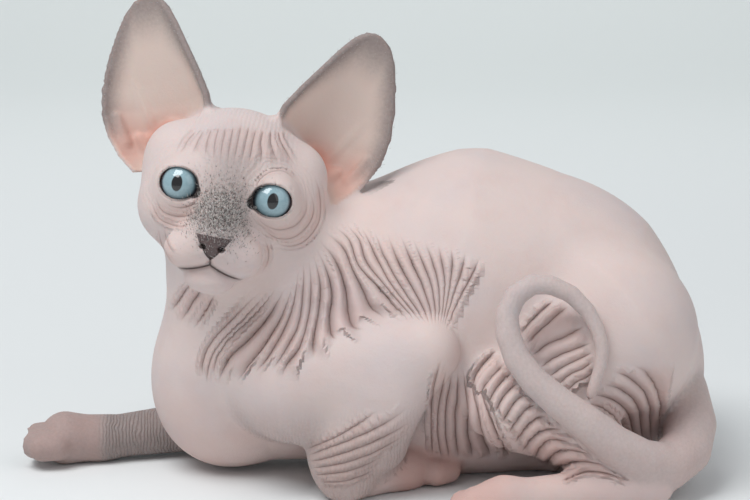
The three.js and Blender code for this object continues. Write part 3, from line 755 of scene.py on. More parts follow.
LEFT_EYE_LOWER = (
    ((160, 190), (166, 203), (180, 208), (194, 204), (201, 192)),
    ((155, 195), (162, 211), (178, 217), (195, 213), (206, 200)),
    ((151, 202), (160, 219), (176, 226), (193, 223)),
)
RIGHT_EYE_LOWER = (
    ((254, 208), (262, 217), (275, 222), (288, 219), (297, 208), (299, 196)),
    ((256, 217), (266, 226), (280, 230), (296, 225), (306, 211), (306, 188)),
    ((262, 229), (276, 238), (292, 238), (306, 228), (314, 212), (311, 192)),
    ((272, 242), (290, 246), (306, 240), (319, 222), (320, 196), (315, 176)),
)
LEFT_EYE_UPPER = (((158, 172), (166, 164), (179, 162), (191, 168), (200, 181)),)
RIGHT_EYE_UPPER = (((254, 192), (261, 179), (272, 172), (285, 172), (297, 181)),)
MUZZLE_FOLDS = (
    ((158, 226), (161, 242), (169, 258), (178, 268)),
    ((164, 228), (168, 244), (176, 256)),
)
CHEEK_FOLDS = (((264, 238), (269, 252), (266, 266), (256, 280)),)

# Each family: its lines, pixels between them at its sides, depth in mm, the shares of their length over
# which they fade in and out, and whether it is on the face
FAMILIES = (
    (NECK_FOLDS, 10, 1.5, (0.3, 0.25), False),
    (CHIN_FOLDS, 9, 1.0, (0.3, 0.4), False),
    (FLANK_FOLDS, 9, 1.3, (0.25, 0.1), False),
    (KNEE_FOLDS, 8, 1.4, (0.15, 0.2), False),
    (THIGH_FOLDS, 9, 1.1, (0.2, 0.2), False),
    (RUMP_FOLDS, 9, 1.0, (0.3, 0.1), False),
    (TAIL_ROOT_FOLD, 7, 1.4, (0.35, 0.05), False),
    (ARM_FOLDS, 7, 0.9, (0.15, 0.4), False),
    (BROW_FOLDS, 7, 0.5, (0.15, 0.45), True),
    (LEFT_EYE_LOWER, 7, 0.5, (0.2, 0.25), True),
    (RIGHT_EYE_LOWER, 7, 0.5, (0.2, 0.25), True),
    (LEFT_EYE_UPPER, 5, 0.5, (0.2, 0.2), True),
    (RIGHT_EYE_UPPER, 5, 0.5, (0.2, 0.2), True),
    (MUZZLE_FOLDS, 6, 0.4, (0.3, 0.4), True),
    (CHEEK_FOLDS, 6, 0.5, (0.3, 0.4), True),
)


def family(place, lines, apart, fades):
    """Where each place is among a family of lines: line n at n, and evenly between one and the next. Also the
    pixels between lines there, a share that fades out towards the family's sides and its lines' ends, and how
    far off the nearest line is."""
    parts = [stroke(place, line) for line in lines]
    signed = np.stack([d for d, _ in parts])
    along = np.stack([t for _, t in parts])
    last = len(lines) - 1
    middles = [np.array(line[len(line) // 2], float)[None] for line in lines]
    for n, line in enumerate(lines if last else ()):
        onward = stroke(middles[n + 1], line)[0][0] if n < last else -stroke(middles[n - 1], line)[0][0]
        signed[n] *= np.sign(onward)
    distance = np.abs(signed)
    here = np.arange(len(place))
    near = distance.argmin(0)
    d, t = distance[near, here], along[near, here]
    ahead = signed[near, here] > 0
    beside = near + np.where(ahead, 1, -1)
    outer = (beside < 0) | (beside > last)
    between = d + distance[np.clip(beside, 0, last), here]
    off = np.where(outer, np.minimum(d / apart, 0.5), d / np.maximum(between, 1e-6))
    number = near + np.where(ahead, off, -off)
    before = distance[np.clip(near - 1, 0, last), here]
    after = distance[np.clip(near + 1, 0, last), here]
    gap = np.where(near == 0, after, np.where(near == last, before, (before + after) / 2))
    if not last:
        gap = np.full(len(place), float(apart))
    share = smooth_step(t, 0, fades[0]) * (1 - smooth_step(t, 1 - fades[1], 1))
    share = share * np.where(outer, 1 - smooth_step(d / apart, *SIDE_FADE), 1)
    splayed = smooth_step(gap / apart, *FADE_APART)
    return number, gap, share * (1 - splayed), d / apart


def folds(points, normals, not_here, on_face):
    """How far to move each point, where it is among its family's folds, and their strength and height there.
    Between one line and the next, at n and n + 1, the skin stands as a ridge of height |sin(pi n)|."""
    place = drawn(points)
    number, strength, move, height = np.zeros((4, len(points)))
    score = np.full(len(points), -1e3)
    outward = np.where(points[:, 1] > TRUNK_MIDDLE, normals[:, 1], -normals[:, 1])
    facing = smooth_step(outward, *FACING)
    for lines, apart, depth, fades, face in FAMILIES:
        shown = facing * (on_face if face else 1 - not_here)
        corners = np.vstack([np.array(line, float) for line in lines])
        low, high = corners.min(0) - 2 * apart, corners.max(0) + 2 * apart
        near = np.flatnonzero(((place > low) & (place < high)).all(1) & (shown > 0))
        if not len(near):
            continue
        n, gap, share, away = family(place[near], lines, apart, fades)
        share = share * shown[near]
        rank = share - NEARNESS * away
        wins = rank > score[near]
        chosen = near[wins]
        score[chosen] = rank[wins]
        number[chosen], strength[chosen] = n[wins], share[wins]
        wide = depth * np.clip(gap[wins] / apart, 0.2, 1.4)
        height[chosen] = wide
        ridge = np.abs(np.sin(np.pi * n[wins])) ** 0.8
        relief = smooth_step(gap[wins] * PIXEL, *RELIEF_GAP)
        move[chosen] = wide * share[wins] * (ridge - RIDGE_MEAN) * relief
    return move, number, strength, height


# Skin: how far each share greys it, how strong the fine rings are where each share is 1, and how close the
# rings are
GREY = {"bridge": 0.6, "grey_ear": 0.95, "on_tail": 0.25, "forearm": 0.9, "far_paw": 0.6}
RINGED = {"under_eye": 0.25, "forearm": 0.8, "on_tail": 0.1}
RINGS = 40.0

# Hairs, in metres: radius, side of each one's patch in the unwrap (as a share of it), spread and depth of the
# roots, and how much they lean at random
HAIR_RADIUS = 0.1 * MM
TUFT_PATCH = 0.003
ROOT_SPREAD = 0.35 * MM
ROOT_DEPTH = 0.25 * MM
HAIR_SCATTER = 0.16
UNWRAP_LOW = 40.0  # millimetres of the head's axes that the unwrap reaches below its middle, and its height
UNWRAP_HEIGHT = 130.0

# Stage, in metres: how far the flat floor reaches to the front, back and sides, and the curve behind it
FLOOR_FRONT = 3.0
FLOOR_BACK = 1.0
FLOOR_SIDE = 4.0
FLOOR_CURVE = 1.0
CURVE_STEPS = 17
WALL_HEIGHT = 4.0
SUBJECT = (0, 0, 0.08)
# Each light's name, place, side and aim
LIGHTS = (
    ("key", (-0.45, -0.45, 1.2), 0.8, SUBJECT),
    ("fill", (0.95, -0.7, 0.7), 1.1, SUBJECT),
    ("wash", (0.0, 1.0, 1.3), 1.6, (0.0, 2.2, 0.5)),
)
SENSOR = 36.0  # width of the camera's sensor, in millimetres


# Meshes and materials
def shift(points):
    """Millimetres with the middle at MIDDLE, to metres in the frame of the solids."""
    return (np.asarray(points, float) - (MIDDLE[0], MIDDLE[1], 0)) * MM


def new_object(name, points, faces, material):
    """A smooth mesh object at the origin from points in metres and an array of faces with equal sides."""
    mesh = bpy.data.meshes.new(name)
    mesh.vertices.add(len(points))
    mesh.vertices.foreach_set("co", np.ascontiguousarray(points, np.float32).ravel())
    mesh.loops.add(faces.size)
    mesh.loops.foreach_set("vertex_index", np.ascontiguousarray(faces, np.int32).ravel())
    mesh.polygons.add(len(faces))
    mesh.polygons.foreach_set("loop_start", np.arange(0, faces.size, faces.shape[1], dtype=np.int32))
    mesh.update(calc_edges=True)
    mesh.validate()
    mesh.polygons.foreach_set("use_smooth", np.full(len(mesh.polygons), True))
    mesh.materials.append(material)
    made = bpy.data.objects.new(name, mesh)
    bpy.context.scene.collection.objects.link(made)
    return made


def new_piece(name, points, faces, material):
    """An object that rides on the one body, in its material slot."""
    made = new_object(name, points, faces, material)
    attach(made, "root")
    return made


def attribute(made, name, values):
    """A colour attribute of three or four shares a corner, that a shader can read."""
    values = np.asarray(values, np.float32)
    rgba = np.ones((len(made.data.vertices), 4), np.float32)
    rgba[:, : values.shape[1]] = values
    made.data.attributes.new(name, "FLOAT_COLOR", "POINT").data.foreach_set("color", rgba.ravel())


class Wire:
    """A node socket that can be used in sums: each operator adds a Math node."""

    def __init__(self, graph, socket):
        self.graph, self.socket = graph, socket

    def _with(self, operation, *others):
        values = {0: self}
        values.update({n + 1: other for n, other in enumerate(others)})
        return self.graph.node("ShaderNodeMath", {"operation": operation}, values)

    def __add__(self, other):
        return self._with("ADD", other)

    def __sub__(self, other):
        return self._with("SUBTRACT", other)

    def __mul__(self, other):
        return self._with("MULTIPLY", other)

    def __truediv__(self, other):
        return self._with("DIVIDE", other)

    def __pow__(self, other):
        return self._with("POWER", other)

    def __rsub__(self, other):
        return self.graph.node("ShaderNodeMath", {"operation": "SUBTRACT"}, {0: other, 1: self})

    def __rtruediv__(self, other):
        return self.graph.node("ShaderNodeMath", {"operation": "DIVIDE"}, {0: other, 1: self})

    __radd__ = __add__
    __rmul__ = __mul__

    def sin(self):
        return self._with("SINE")

    def abs(self):
        return self._with("ABSOLUTE")

    def sqrt(self):
        return self._with("SQRT")

    def least(self, other):
        """The lesser of the two, smoothly."""
        return self.graph.node("ShaderNodeMath", {"operation": "SMOOTH_MIN"}, {0: self, 1: other, 2: 1.2})

    def clip(self):
        return self.graph.node("ShaderNodeClamp", {}, {"Value": self})

    def step(self, low, high):
        """Smoothly 0 below low and 1 above high."""
        settings = {"interpolation_type": "SMOOTHSTEP"}
        values = {"Value": self, "From Min": low, "From Max": high, "To Min": 0.0, "To Max": 1.0}
        return self.graph.node("ShaderNodeMapRange", settings, values)

    def band(self, lower, upper):
        """1 between a lower and an upper pair of limits, going smoothly to 0 over each pair."""
        return self.step(*lower) * (1.0 - self.step(*upper))


class Graph:
    """The nodes of one material, with the Principled shader's inputs set by name."""

    def __init__(self, name, **inputs):
        self.material = bpy.data.materials.new(name)
        self.material.use_nodes = True
        self.tree = self.material.node_tree
        self.shader = self.tree.nodes["Principled BSDF"]
        for key, value in inputs.items():
            self.shader.inputs[key.replace("_", " ")].default_value = value

    def node(self, kind, settings, values, output=0):
        """A node with its settings, then the values or wires of its sockets. Gives one output's wire."""
        made = self.tree.nodes.new(kind)
        for key, value in settings.items():
            setattr(made, key, value)
        for key, value in values.items():
            if isinstance(value, Wire):
                self.tree.links.new(value.socket, made.inputs[key])
            else:
                made.inputs[key].default_value = value
        return Wire(self, made.outputs[output])

    def feed(self, name, wire):
        self.tree.links.new(wire.socket, self.shader.inputs[name])

    def place(self):
        return self.node("ShaderNodeTexCoord", {}, {}, "Object")

    def channels(self, name):
        """The three channels and the fourth of a colour attribute."""
        whole = self.node("ShaderNodeAttribute", {"attribute_name": name}, {}, "Color")
        last = self.node("ShaderNodeAttribute", {"attribute_name": name}, {}, "Alpha")
        return (*self.split(whole), last)

    def split(self, vector):
        return tuple(self.node("ShaderNodeSeparateXYZ", {}, {0: vector}, n) for n in range(3))

    def join(self, x, y, z):
        return self.node("ShaderNodeCombineXYZ", {}, {0: x, 1: y, 2: z})

    def noise(self, vector, scale, detail=3.0, rough=0.55):
        values = {"Vector": vector, "Scale": scale, "Detail": detail, "Roughness": rough}
        return self.node("ShaderNodeTexNoise", {}, values, "Fac")

    def mix(self, share, first, second):
        """From the first colour to the second as share goes from 0 to 1."""
        ends = [end if isinstance(end, Wire) else (*end, 1) for end in (first, second)]
        return self.node("ShaderNodeMix", {"data_type": "RGBA"}, {0: share, 6: ends[0], 7: ends[1]}, 2)

    def bump(self, height):
        """Bump from a height in millimetres."""
        values = {"Height": height, "Distance": MM, "Strength": 1.0}
        self.feed("Normal", self.node("ShaderNodeBump", {}, values))


def colour(name, description, default):
    return FloatVectorProperty(name=name, description=description, default=default, subtype="COLOR")


def size(name, description, default):
    return FloatProperty(name=name, description=description, default=default, unit="LENGTH", precision=5)


class SkinSettings(bpy.types.PropertyGroup):
    fine: size("Fine step", "Grid step at the head", 0.00092)
    coarse: size("Coarse step", "Grid step elsewhere", 0.0019)
    fold_share: FloatProperty(name="Folds", description="Depth of the folds as a share", default=1.0)
    pink: colour("Skin", "Colour of the pale skin", (0.69, 0.57, 0.54))
    cool: colour("Cool skin", "Colour of the pale skin's cooler patches", (0.61, 0.53, 0.53))
    flush: colour("Flush", "Colour of the folds and thin skin", (0.56, 0.31, 0.26))
    # Painted shade: the dark colour mixed in at the bottom of each fold
    fold: colour("Fold", "Colour at the bottom of the folds", (0.25, 0.125, 0.10))
    dusk: colour("Dusk", "Colour of the grey skin", (0.27, 0.225, 0.215))
    ear: colour("Ear", "Colour inside the ears", (0.72, 0.595, 0.52))
    canal: colour("Ear canal", "Colour deep in the ears", (0.52, 0.17, 0.115))
    dark_speck: colour("Dark specks", "Colour of the dark specks on the nose", (0.07, 0.06, 0.058))
    pale_speck: colour("Pale specks", "Colour of the pale specks on the nose", (0.60, 0.58, 0.55))
    leather: colour("Nose", "Colour of the nose leather", (0.13, 0.092, 0.09))
    # Also the colour of the soft painted shadow beside the mouth's line
    lip: colour("Mouth", "Colour of the mouth's line and the edge of the nose", (0.035, 0.02, 0.018))
    rim: colour("Lid rims", "Colour of the rims of the lids", (0.035, 0.026, 0.026))


class EyeSettings(bpy.types.PropertyGroup):
    rings: IntProperty(name="Rings", description="Squares in a ring round an eye", default=72)
    pupil: size("Pupil", "Half width of the pupil", 0.0023)
    iris: size("Iris", "Radius of the iris", 0.0066)
    blue: colour("Iris colour", "Colour of the iris", (0.42, 0.62, 0.70))
    inner: colour("Inner iris", "Colour round the pupil", (0.30, 0.45, 0.50))
    ring: colour("Ring", "Colour of the dark ring round the iris", (0.03, 0.035, 0.045))
    black: colour("Pupil colour", "Colour of the pupil", (0.004, 0.004, 0.005))
    white: colour("White", "Colour of the white of the eye", (0.50, 0.42, 0.40))
    vein: colour("Vein", "Colour of its darker patches", (0.30, 0.20, 0.19))


class HairSettings(bpy.types.PropertyGroup):
    seed: IntProperty(name="Seed", description="Seed of the hairs' places", default=16)
    nose_hairs: IntProperty(name="Nose hairs", description="Short hairs on the nose", default=2600)
    rim_hairs: IntProperty(name="Rim hairs", description="Short hairs on the rims of the ears", default=700)
    pale: colour("Pale hairs", "Colour of the pale hairs", (0.55, 0.53, 0.51))
    dark: colour("Dark hairs", "Colour of the dark hairs", (0.10, 0.085, 0.08))


class StageSettings(bpy.types.PropertyGroup):
    key_power: FloatProperty(name="Key light", description="Power of the main light", default=12.0)
    fill_power: FloatProperty(name="Fill light", description="Power of the fill light", default=2.4)
    wash_power: FloatProperty(name="Backdrop light", description="Power of the backdrop's light", default=9.0)
    sky_power: FloatProperty(name="Sky", description="Strength of the even light", default=0.42)
    sky: colour("Sky colour", "Colour of the even light", (0.93, 0.96, 1.0))
    floor: colour("Floor", "Colour of the floor", (0.81, 0.835, 0.84))
    backdrop: colour("Backdrop", "Colour of the backdrop", (0.70, 0.735, 0.73))


def spot(p, middle, reach):
    """exp(-d d), where d is the distance from the middle, with each axis measured in its own reach."""
    return np.exp(-(((p - np.array(middle)) / np.array(reach)) ** 2).sum(1))


def skin_fields(points):
    """The shares that colour and wrinkle the skin, each from 0 to 1, from where a point is on the body."""
    p = points.astype(np.float32)
    h = to_head(points)
    m = two_sided(h)
    upright = h[:, ::2]  # across and up
    q = ear_local(m, h[:, 0])
    up, out = q[:, 0], q[:, 1]
    off, rim, _ = ear_place(q)
    skull_off = skull(h)
    on_skull = smooth_step(skull_off, 3.0, 0.5)
    on_head = smooth_step(skull_off, 6.0, 0.5)
    in_ear = smooth_step(skull_off, 1.0, 3.0) * (np.abs(off) < np.where(up < 18, 8, 3.5))
    in_ear = in_ear * (up > EAR_SECTIONS[0, 0]) * (rim < 3) * (m[:, 0] > 12)
    hollow = in_ear * smooth_step(off, -0.2, 0.5)
    edge = in_ear * smooth_step(-rim, 8.5, 0) * smooth_step(up, 0, 14)
    tip = in_ear * smooth_step(up, 34, 52)
    bridge = spot(upright, (0, 1), (8.5, 15)) * smooth_step(h[:, 1], 14, 22)
    brow = spot(upright, (0, 17), (10, 11)) * smooth_step(h[:, 1], 4, 14)
    nose = np.exp(-((np.maximum(egg(h, *NOSE), 0) / 0.7) ** 2))
    on_tail = smooth_step(tail(p), 2.0, 0.4) * smooth_step(skull_off, 5, 20)
    far_paw = smooth_step(right_paw(p), 3, 0.5) * smooth_step(p[:, 0], -100, -106)
    far_arm = smooth_step(cones(p, RIGHT_ARM), 3.5, 0.8) * smooth_step(p[:, 0], -66, -78)
    near_arm = smooth_step(cones(p, LEFT_ARM), 4, 1) * smooth_step(p[:, 2], 44, 14)
    near_paw = smooth_step(left_paw(p), 2.5, 0.5) * smooth_step(p[:, 0], 2, 12)
    near_foot = smooth_step(hind_foot(p), 2.5, 0.5) * smooth_step(p[:, 0], 56, 40)
    return {
        "no_folds": np.clip(on_skull + on_tail + in_ear, 0, 1),
        "face_folds": on_skull * (1 - in_ear) * (1 - nose) * (points[:, 1] < TRUNK_MIDDLE),
        "face": on_head * (1 - in_ear) * smooth_step(h[:, 1], 8, 14),
        "hollow": hollow,
        "canal": in_ear * smooth_step(off, 0.2, 1.5) * spot(q[:, :2], (3, 6), (7.5, 9.5)),
        "flap": hollow * smooth_step(out, 12, 20) * smooth_step(up, 22, 6),
        "grey_ear": np.maximum(edge, tip * 0.9),
        "bridge": np.clip(bridge + 0.45 * brow, 0, 1),
        "speckle": spot(upright, (0, -4), (8, 8.5)) * smooth_step(h[:, 1], 18, 26),
        "muzzle": spot(h, (0, 30, -17), 13),
        "forehead": on_head * smooth_step(h[:, 2], 8, 20) * smooth_step(np.abs(h[:, 0]), 26, 16),
        "under_eye": on_head * np.exp(-(((length(m - EYE_AT) - 14.5) / 4.5) ** 2)),
        "on_tail": on_tail,
        "forearm": np.maximum(far_arm * (1 - far_paw), 0.5 * near_arm),
        "far_paw": far_paw,
        "pads": np.maximum(far_paw, np.maximum(near_paw, near_foot)),
    }


def along(place, middle, axis):
    """How far a place, as three wires, lies from the middle along an axis."""
    x, y, z = (wire - float(start) for wire, start in zip(place, middle))
    return x * float(axis[0]) + y * float(axis[1]) + z * float(axis[2])


def head_wires(g):
    """The head's own axes in millimetres, with |x| as the first, from the object coordinates."""
    place = g.split(g.place())
    x, y, z = (along(place, shift(HEAD), axis) * PER_METRE for axis in HEAD_AXES)
    return x.abs(), y, z


def face_lines(g, face):
    """Shares for the nose leather and its dark edge, the line of the mouth with a soft painted shadow beside
    it, and the rims of the lids. Limits are in millimetres, on the head's axes or out from the line that each
    share follows."""
    x, y, z = head_wires(g)
    rise = ((z - LEATHER_FOOT) / LEATHER_HEIGHT).clip()
    inside = (rise**0.8 * LEATHER_WIDTH + LEATHER_EDGE) - x
    leather = inside.step(-0.25, 0.25) * z.band((-19.9, -19.3), (-11.5, -11.1)) * y.step(31.0, 31.6)
    nose_edge = leather * (1.0 - inside.step(0.1, 1.3)) * (1.0 - z.step(-13.5, -12.0) * 0.6)
    level, slant, bend = MOUTH_LINE
    lips = (z - level - x * slant - x * x * bend).abs()
    # A thin dark core on the mouth's line, and a wider soft band of painted shadow beside it
    mouth = (1.0 - lips.step(0.1, 0.5)) * 0.7 + (1.0 - lips.step(0.2, 1.9)) * 0.3
    mouth = mouth * (1.0 - x.step(8.0, 14.0))
    philtrum = (1.0 - x.step(0.1, 0.5)) * z.band((-21.8, -21.2), (-18.8, -18.2)) * 0.8
    across, ahead, over = (along((x, y, z), EYE_AT, axis) for axis in EYE_AXES)
    u, v = across / EYE_OPENING[0], over / EYE_OPENING[1]
    oval = ((u * u + v * v).sqrt() - 1.0) * EYE_OPENING[1]
    corner = ((across + EYE_CORNER[0]) ** 2.0 + (over + EYE_CORNER[1]) ** 2.0).sqrt() - EYE_CORNER[2]
    hole = oval.least(corner)
    rim = (1.0 - hole.step(0.55, 1.15)) * ahead.step(2.0, 4.0)
    shares = (leather, nose_edge, ((mouth + philtrum) * y.step(16.0, 20.0)).clip(), rim)
    return [share * face for share in shares]


def skin_material(settings):
    """Pale skin, flushed, with painted shade at the bottoms of the folds, greyed and speckled by the mesh's
    attributes.
    """
    g = Graph("kitten_skin", Roughness=0.62, Subsurface_Weight=0.16, Subsurface_Scale=0.005)
    g.shader.inputs["Subsurface Radius"].default_value = (1.0, 0.36, 0.24)
    g.shader.inputs["Specular IOR Level"].default_value = 0.32
    speckle, blush, grey, _ = g.channels("tint")
    hollow, canal, flap, _ = g.channels("ear")
    rings, lines, ring_phase, line_phase = g.channels("grain")
    number, strength, depth, face = g.channels("fold")
    place = g.place()
    leather, nose_edge, mouth, rim = face_lines(g, face)

    # Noises, from the broad patches to the pores
    coarse = g.noise(place, 28.0, 4.0)
    patch = g.noise(place, 70.0, 3.0)
    warp = g.noise(place, 160.0, 2.0)
    fine = g.noise(place, 900.0, 3.0, 0.6)
    specks = g.noise(place, 1500.0, 1.0, 0.5)
    pores = g.noise(place, 2600.0, 2.0, 0.6)

    # Folds: the wave is 0 at each line and 1 half way to the next, and painted shade darkens the skin at each
    # line, the bottom of a fold
    wave = (number * math.pi + (patch - 0.5) * 0.9).sin().abs()
    # Painted shade in each fold's groove, weaker on the face
    painted_crease_shade = ((1.0 - wave) ** 4.0 * strength * (1.0 - face * 0.45)).clip()
    ridge = wave**0.7 * strength

    tint = g.mix(((coarse - 0.42) * 2.6).clip(), settings.pink, settings.cool)
    tint = g.mix((blush * 0.8 + strength * 0.2 + (patch - 0.5) * 0.4).clip(), tint, settings.flush)
    tint = g.mix(hollow * 0.75, tint, settings.ear)
    tint = g.mix((flap * 0.35 + canal * 0.95).clip(), tint, settings.canal)
    # Painted shade at the bottoms of the folds
    tint = g.mix((painted_crease_shade * 0.7).clip(), tint, settings.fold)
    tint = g.mix((grey + (fine - 0.5) * 0.35 * grey.step(0.05, 0.3)).clip(), tint, settings.dusk)
    tint = g.mix(speckle * (1.0 - specks.step(0.36, 0.5)) * 0.6, tint, settings.dark_speck)
    tint = g.mix(speckle.step(0.15, 0.8) * specks.step(0.5, 0.62) * 0.7, tint, settings.pale_speck)
    tint = g.mix(leather, tint, settings.leather)
    # The nose's dark edge, and the mouth's line with its painted shadow
    tint = g.mix((nose_edge * 0.8 + mouth * 0.85).clip(), tint, settings.lip)
    g.feed("Base Color", g.mix(rim, tint, settings.rim))

    # Height in millimetres
    g.bump(
        ridge * depth * 0.9
        + rings * (ring_phase * RINGS + warp * 15.0).sin() * 0.17
        + lines * (line_phase * RINGS + warp * 7.0).sin() * 0.1
        + (fine - 0.5) * 0.11
        + (pores - 0.5) * 0.05
        + (patch - 0.5) * 0.25
        + (specks - 0.5) * speckle * 0.5
        - mouth * 0.3
    )
    g.feed("Roughness", (0.66 - leather * 0.22 - rim * 0.3 + (fine - 0.5) * 0.2).clip())
    return g.material


def eye_material(settings, centre, axes):
    """White, dark ring, iris with fine spokes and an upright oval pupil, by distance from the look axis."""
    g = Graph("kitten_eye", Roughness=0.12, Coat_Weight=1.0, Coat_Roughness=0.015)
    g.shader.inputs["Coat IOR"].default_value = 1.45
    place = g.split(g.place())
    u, v = (along(place, centre, axes[n]) * PER_METRE for n in (0, 2))
    r = (u * u + v * v).sqrt()
    turn = g.node("ShaderNodeMath", {"operation": "ARCTAN2"}, {0: v, 1: u})
    spoke = g.noise(g.join(turn * 6.0, r * 0.35, 0.0), 3.0, 4.0, 0.7)
    share = r / (settings.iris * PER_METRE)
    deep = tuple(c * 0.55 for c in settings.blue)
    tint = g.mix(((spoke - 0.35) * 1.6).clip(), deep, settings.blue)
    tint = g.mix(share.step(0.28, 0.5) * 0.5 + 0.1, settings.inner, tint)
    tint = g.mix(share.step(0.80, 0.98), tint, settings.ring)
    oval = ((u / 0.86) * (u / 0.86) + v * v * 0.62).sqrt() / (settings.pupil * PER_METRE)
    tint = g.mix(1.0 - oval.step(0.9, 1.08), tint, settings.black)
    white = g.mix(g.noise(g.join(u, v, 0.0), 1.2), settings.white, settings.vein)
    g.feed("Base Color", g.mix(share.step(1.0, 1.06), tint, white))
    return g.material


class KITTEN_OT_skin(bpy.types.Operator):
    """Build the one skin that covers all the flesh, with the folds pressed into it"""

    bl_idname = "kitten.skin"
    bl_label = "Skin"

    def execute(self, context):
        settings = context.scene.kitten_skin
        fine, coarse = settings.fine / MM, settings.coarse / MM
        lines = [graded(*whole, *close, coarse, fine) for whole, close in zip(REACH, FINE_REACH)]
        points, quads = largest_part(*surface(kitten, lines))
        normals = normals_of(points, quads)
        fields = skin_fields(points)
        move, number, strength, depth = folds(points, normals, fields["no_folds"], fields["face_folds"])
        above_floor = smooth_step(points[:, 2], 0.2, 1.5)
        points = points + normals * (move * settings.fold_share * above_floor)[:, None]
        made = new_piece("skin", shift(points), quads, skin_material(settings))
        # The blush share flushes the pads and muzzle, and also grows towards the floor, so the skin is redder
        # and darker the lower it lies
        low = smooth_step(points[:, 2], 45, 6)
        blush = np.clip(0.45 * fields["pads"] + 0.2 * fields["muzzle"] + 0.3 * low, 0, 1)
        grey = sum(share * fields[name] for name, share in GREY.items())
        rings = sum(share * fields[name] for name, share in RINGED.items())
        h = to_head(points)
        line_phase = h[:, 0] / 12.0 * (1 + 0.012 * (h[:, 2] - 10))
        from_eye = length(two_sided(h) - EYE_AT)
        ring_phase = np.where(fields["forearm"] > 0.02, points[:, 0] / 8.0, from_eye / 11.0)
        for name, channels in (
            ("tint", (fields["speckle"], blush, np.clip(grey, 0, 0.95), fields["grey_ear"])),
            ("ear", (fields["hollow"], fields["canal"], fields["flap"])),
            ("grain", (np.clip(rings, 0, 1), 0.3 * fields["forehead"], ring_phase, line_phase)),
            ("fold", (number, strength, depth, fields["face"])),
        ):
            attribute(made, name, np.stack(channels, 1))
        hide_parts(*FLESH)
        return {"FINISHED"}


def largest_part(points, quads):
    """Keeps the largest connected surface, found by giving each corner the least label of its neighbours."""
    label = np.arange(len(points))
    while True:
        low = label[quads].min(1)
        before = label.copy()
        for corner in range(4):
            np.minimum.at(label, quads[:, corner], low)
        label = label[label]
        if (label == before).all():
            break
    names, counts = np.unique(label, return_counts=True)
    keep = label == names[counts.argmax()]
    number = np.cumsum(keep) - 1
    return points[keep], number[quads[keep[quads].all(1)]]


class KITTEN_OT_eyes(bpy.types.Operator):
    """Build the eyes: balls with a low bulge over the iris"""

    bl_idname = "kitten.eyes"
    bl_label = "Eyes"

    def execute(self, context):
        settings = context.scene.kitten_eyes
        for hand, name in ((1, "left"), (-1, "right")):
            mirror = np.array((hand, 1, 1))
            centre = on_head(EYE_AT * mirror)
            look = unit((unit(EYE_LOOK) * mirror) @ HEAD_AXES)
            across = unit(np.cross(look, HEAD_AXES[2]))
            axes = np.stack((across, look, np.cross(across, look)))
            points, faces = ball(settings.rings)
            bulge = 0.5 * np.exp(-((np.hypot(points[:, 0], points[:, 2]) / 0.55) ** 2)) * (points[:, 1] > 0)
            points = points * (EYEBALL_RADIUS + bulge)[:, None]
            placed = shift(centre + points @ axes)
            material = eye_material(settings, shift(centre[None])[0], axes)
            made = new_piece("eyeball_" + name, placed, faces, material)
            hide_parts("eye_" + name)
        return {"FINISHED"}


def ball(rings):
    """A unit ball: a cube of rings / 4 squares along each edge, with each point pushed out to length 1."""
    n = max(rings // 4, 4)
    t = np.tan(np.linspace(-math.pi / 4, math.pi / 4, n + 1))
    u, v = np.meshgrid(t, t, indexing="ij")
    quad = grid_faces(n + 1, n + 1)
    points, faces = [], []
    for axis in range(3):
        for sign in (1, -1):
            p = np.empty((*u.shape, 3))
            p[..., axis] = sign
            p[..., (axis + 1) % 3] = u
            p[..., (axis + 2) % 3] = v
            faces.append((quad if sign > 0 else quad[:, ::-1]) + len(points) * (n + 1) ** 2)
            points.append(p.reshape(-1, 3))
    points = np.concatenate(points)
    faces = np.concatenate(faces)
    points /= np.linalg.norm(points, axis=1, keepdims=True)
    _, first, number = np.unique(np.round(points, 6), axis=0, return_index=True, return_inverse=True)
    return points[first], number.reshape(-1)[faces].astype(np.int32)


def hairs(skin, share, count, tall, lean, seed):
    """Three-sided spikes on the skin, with roots spread by the given share of each corner. Each stands along
    its corner's normal, tipped over by `lean`. Returns points in metres, three-sided faces, and each point's
    place on an unwrap of the head by its bearing and height, where each spike is a small patch."""
    rng = np.random.default_rng(seed)
    mesh = skin.data
    place = np.empty(len(mesh.vertices) * 3, np.float32)
    normal = np.empty(len(mesh.vertices) * 3, np.float32)
    mesh.vertices.foreach_get("co", place)
    mesh.vertex_normals.foreach_get("vector", normal)
    place, normal = place.reshape(-1, 3), normal.reshape(-1, 3)
    pick = rng.choice(len(place), count, p=share / share.sum())
    root = place[pick] + rng.normal(0, ROOT_SPREAD, (count, 3))
    out = normal[pick] + lean + rng.normal(0, HAIR_SCATTER, (count, 3))
    out /= np.linalg.norm(out, axis=1, keepdims=True)
    root -= normal[pick] * ROOT_DEPTH
    aside = np.cross(out, rng.normal(size=(count, 3)))
    aside /= np.linalg.norm(aside, axis=1, keepdims=True)
    other = np.cross(out, aside)
    tall = tall * rng.uniform(0.6, 1.3, (count, 1))
    turns = np.radians((0, 120, 240))
    base = [root + HAIR_RADIUS * (math.cos(t) * aside + math.sin(t) * other) for t in turns]
    points = np.stack((*base, root + out * tall), 1).reshape(-1, 3)
    spike = np.array(((0, 1, 3), (1, 2, 3), (2, 0, 3), (2, 1, 0)))
    h = (root / MM + (*MIDDLE, 0) - HEAD) @ HEAD_AXES.T
    bearing = 0.5 + np.arctan2(h[:, 0], h[:, 1]) / (2 * math.pi)
    corner = np.stack((bearing, (h[:, 2] + UNWRAP_LOW) / UNWRAP_HEIGHT), 1)
    patch = TUFT_PATCH * np.array(((0, 0), (1, 0), (0, 1), (0.5, 0.5)))
    faces = (spike[None] + 4 * np.arange(count)[:, None, None]).reshape(-1, 3)
    return points, faces, corner[:, None] + patch


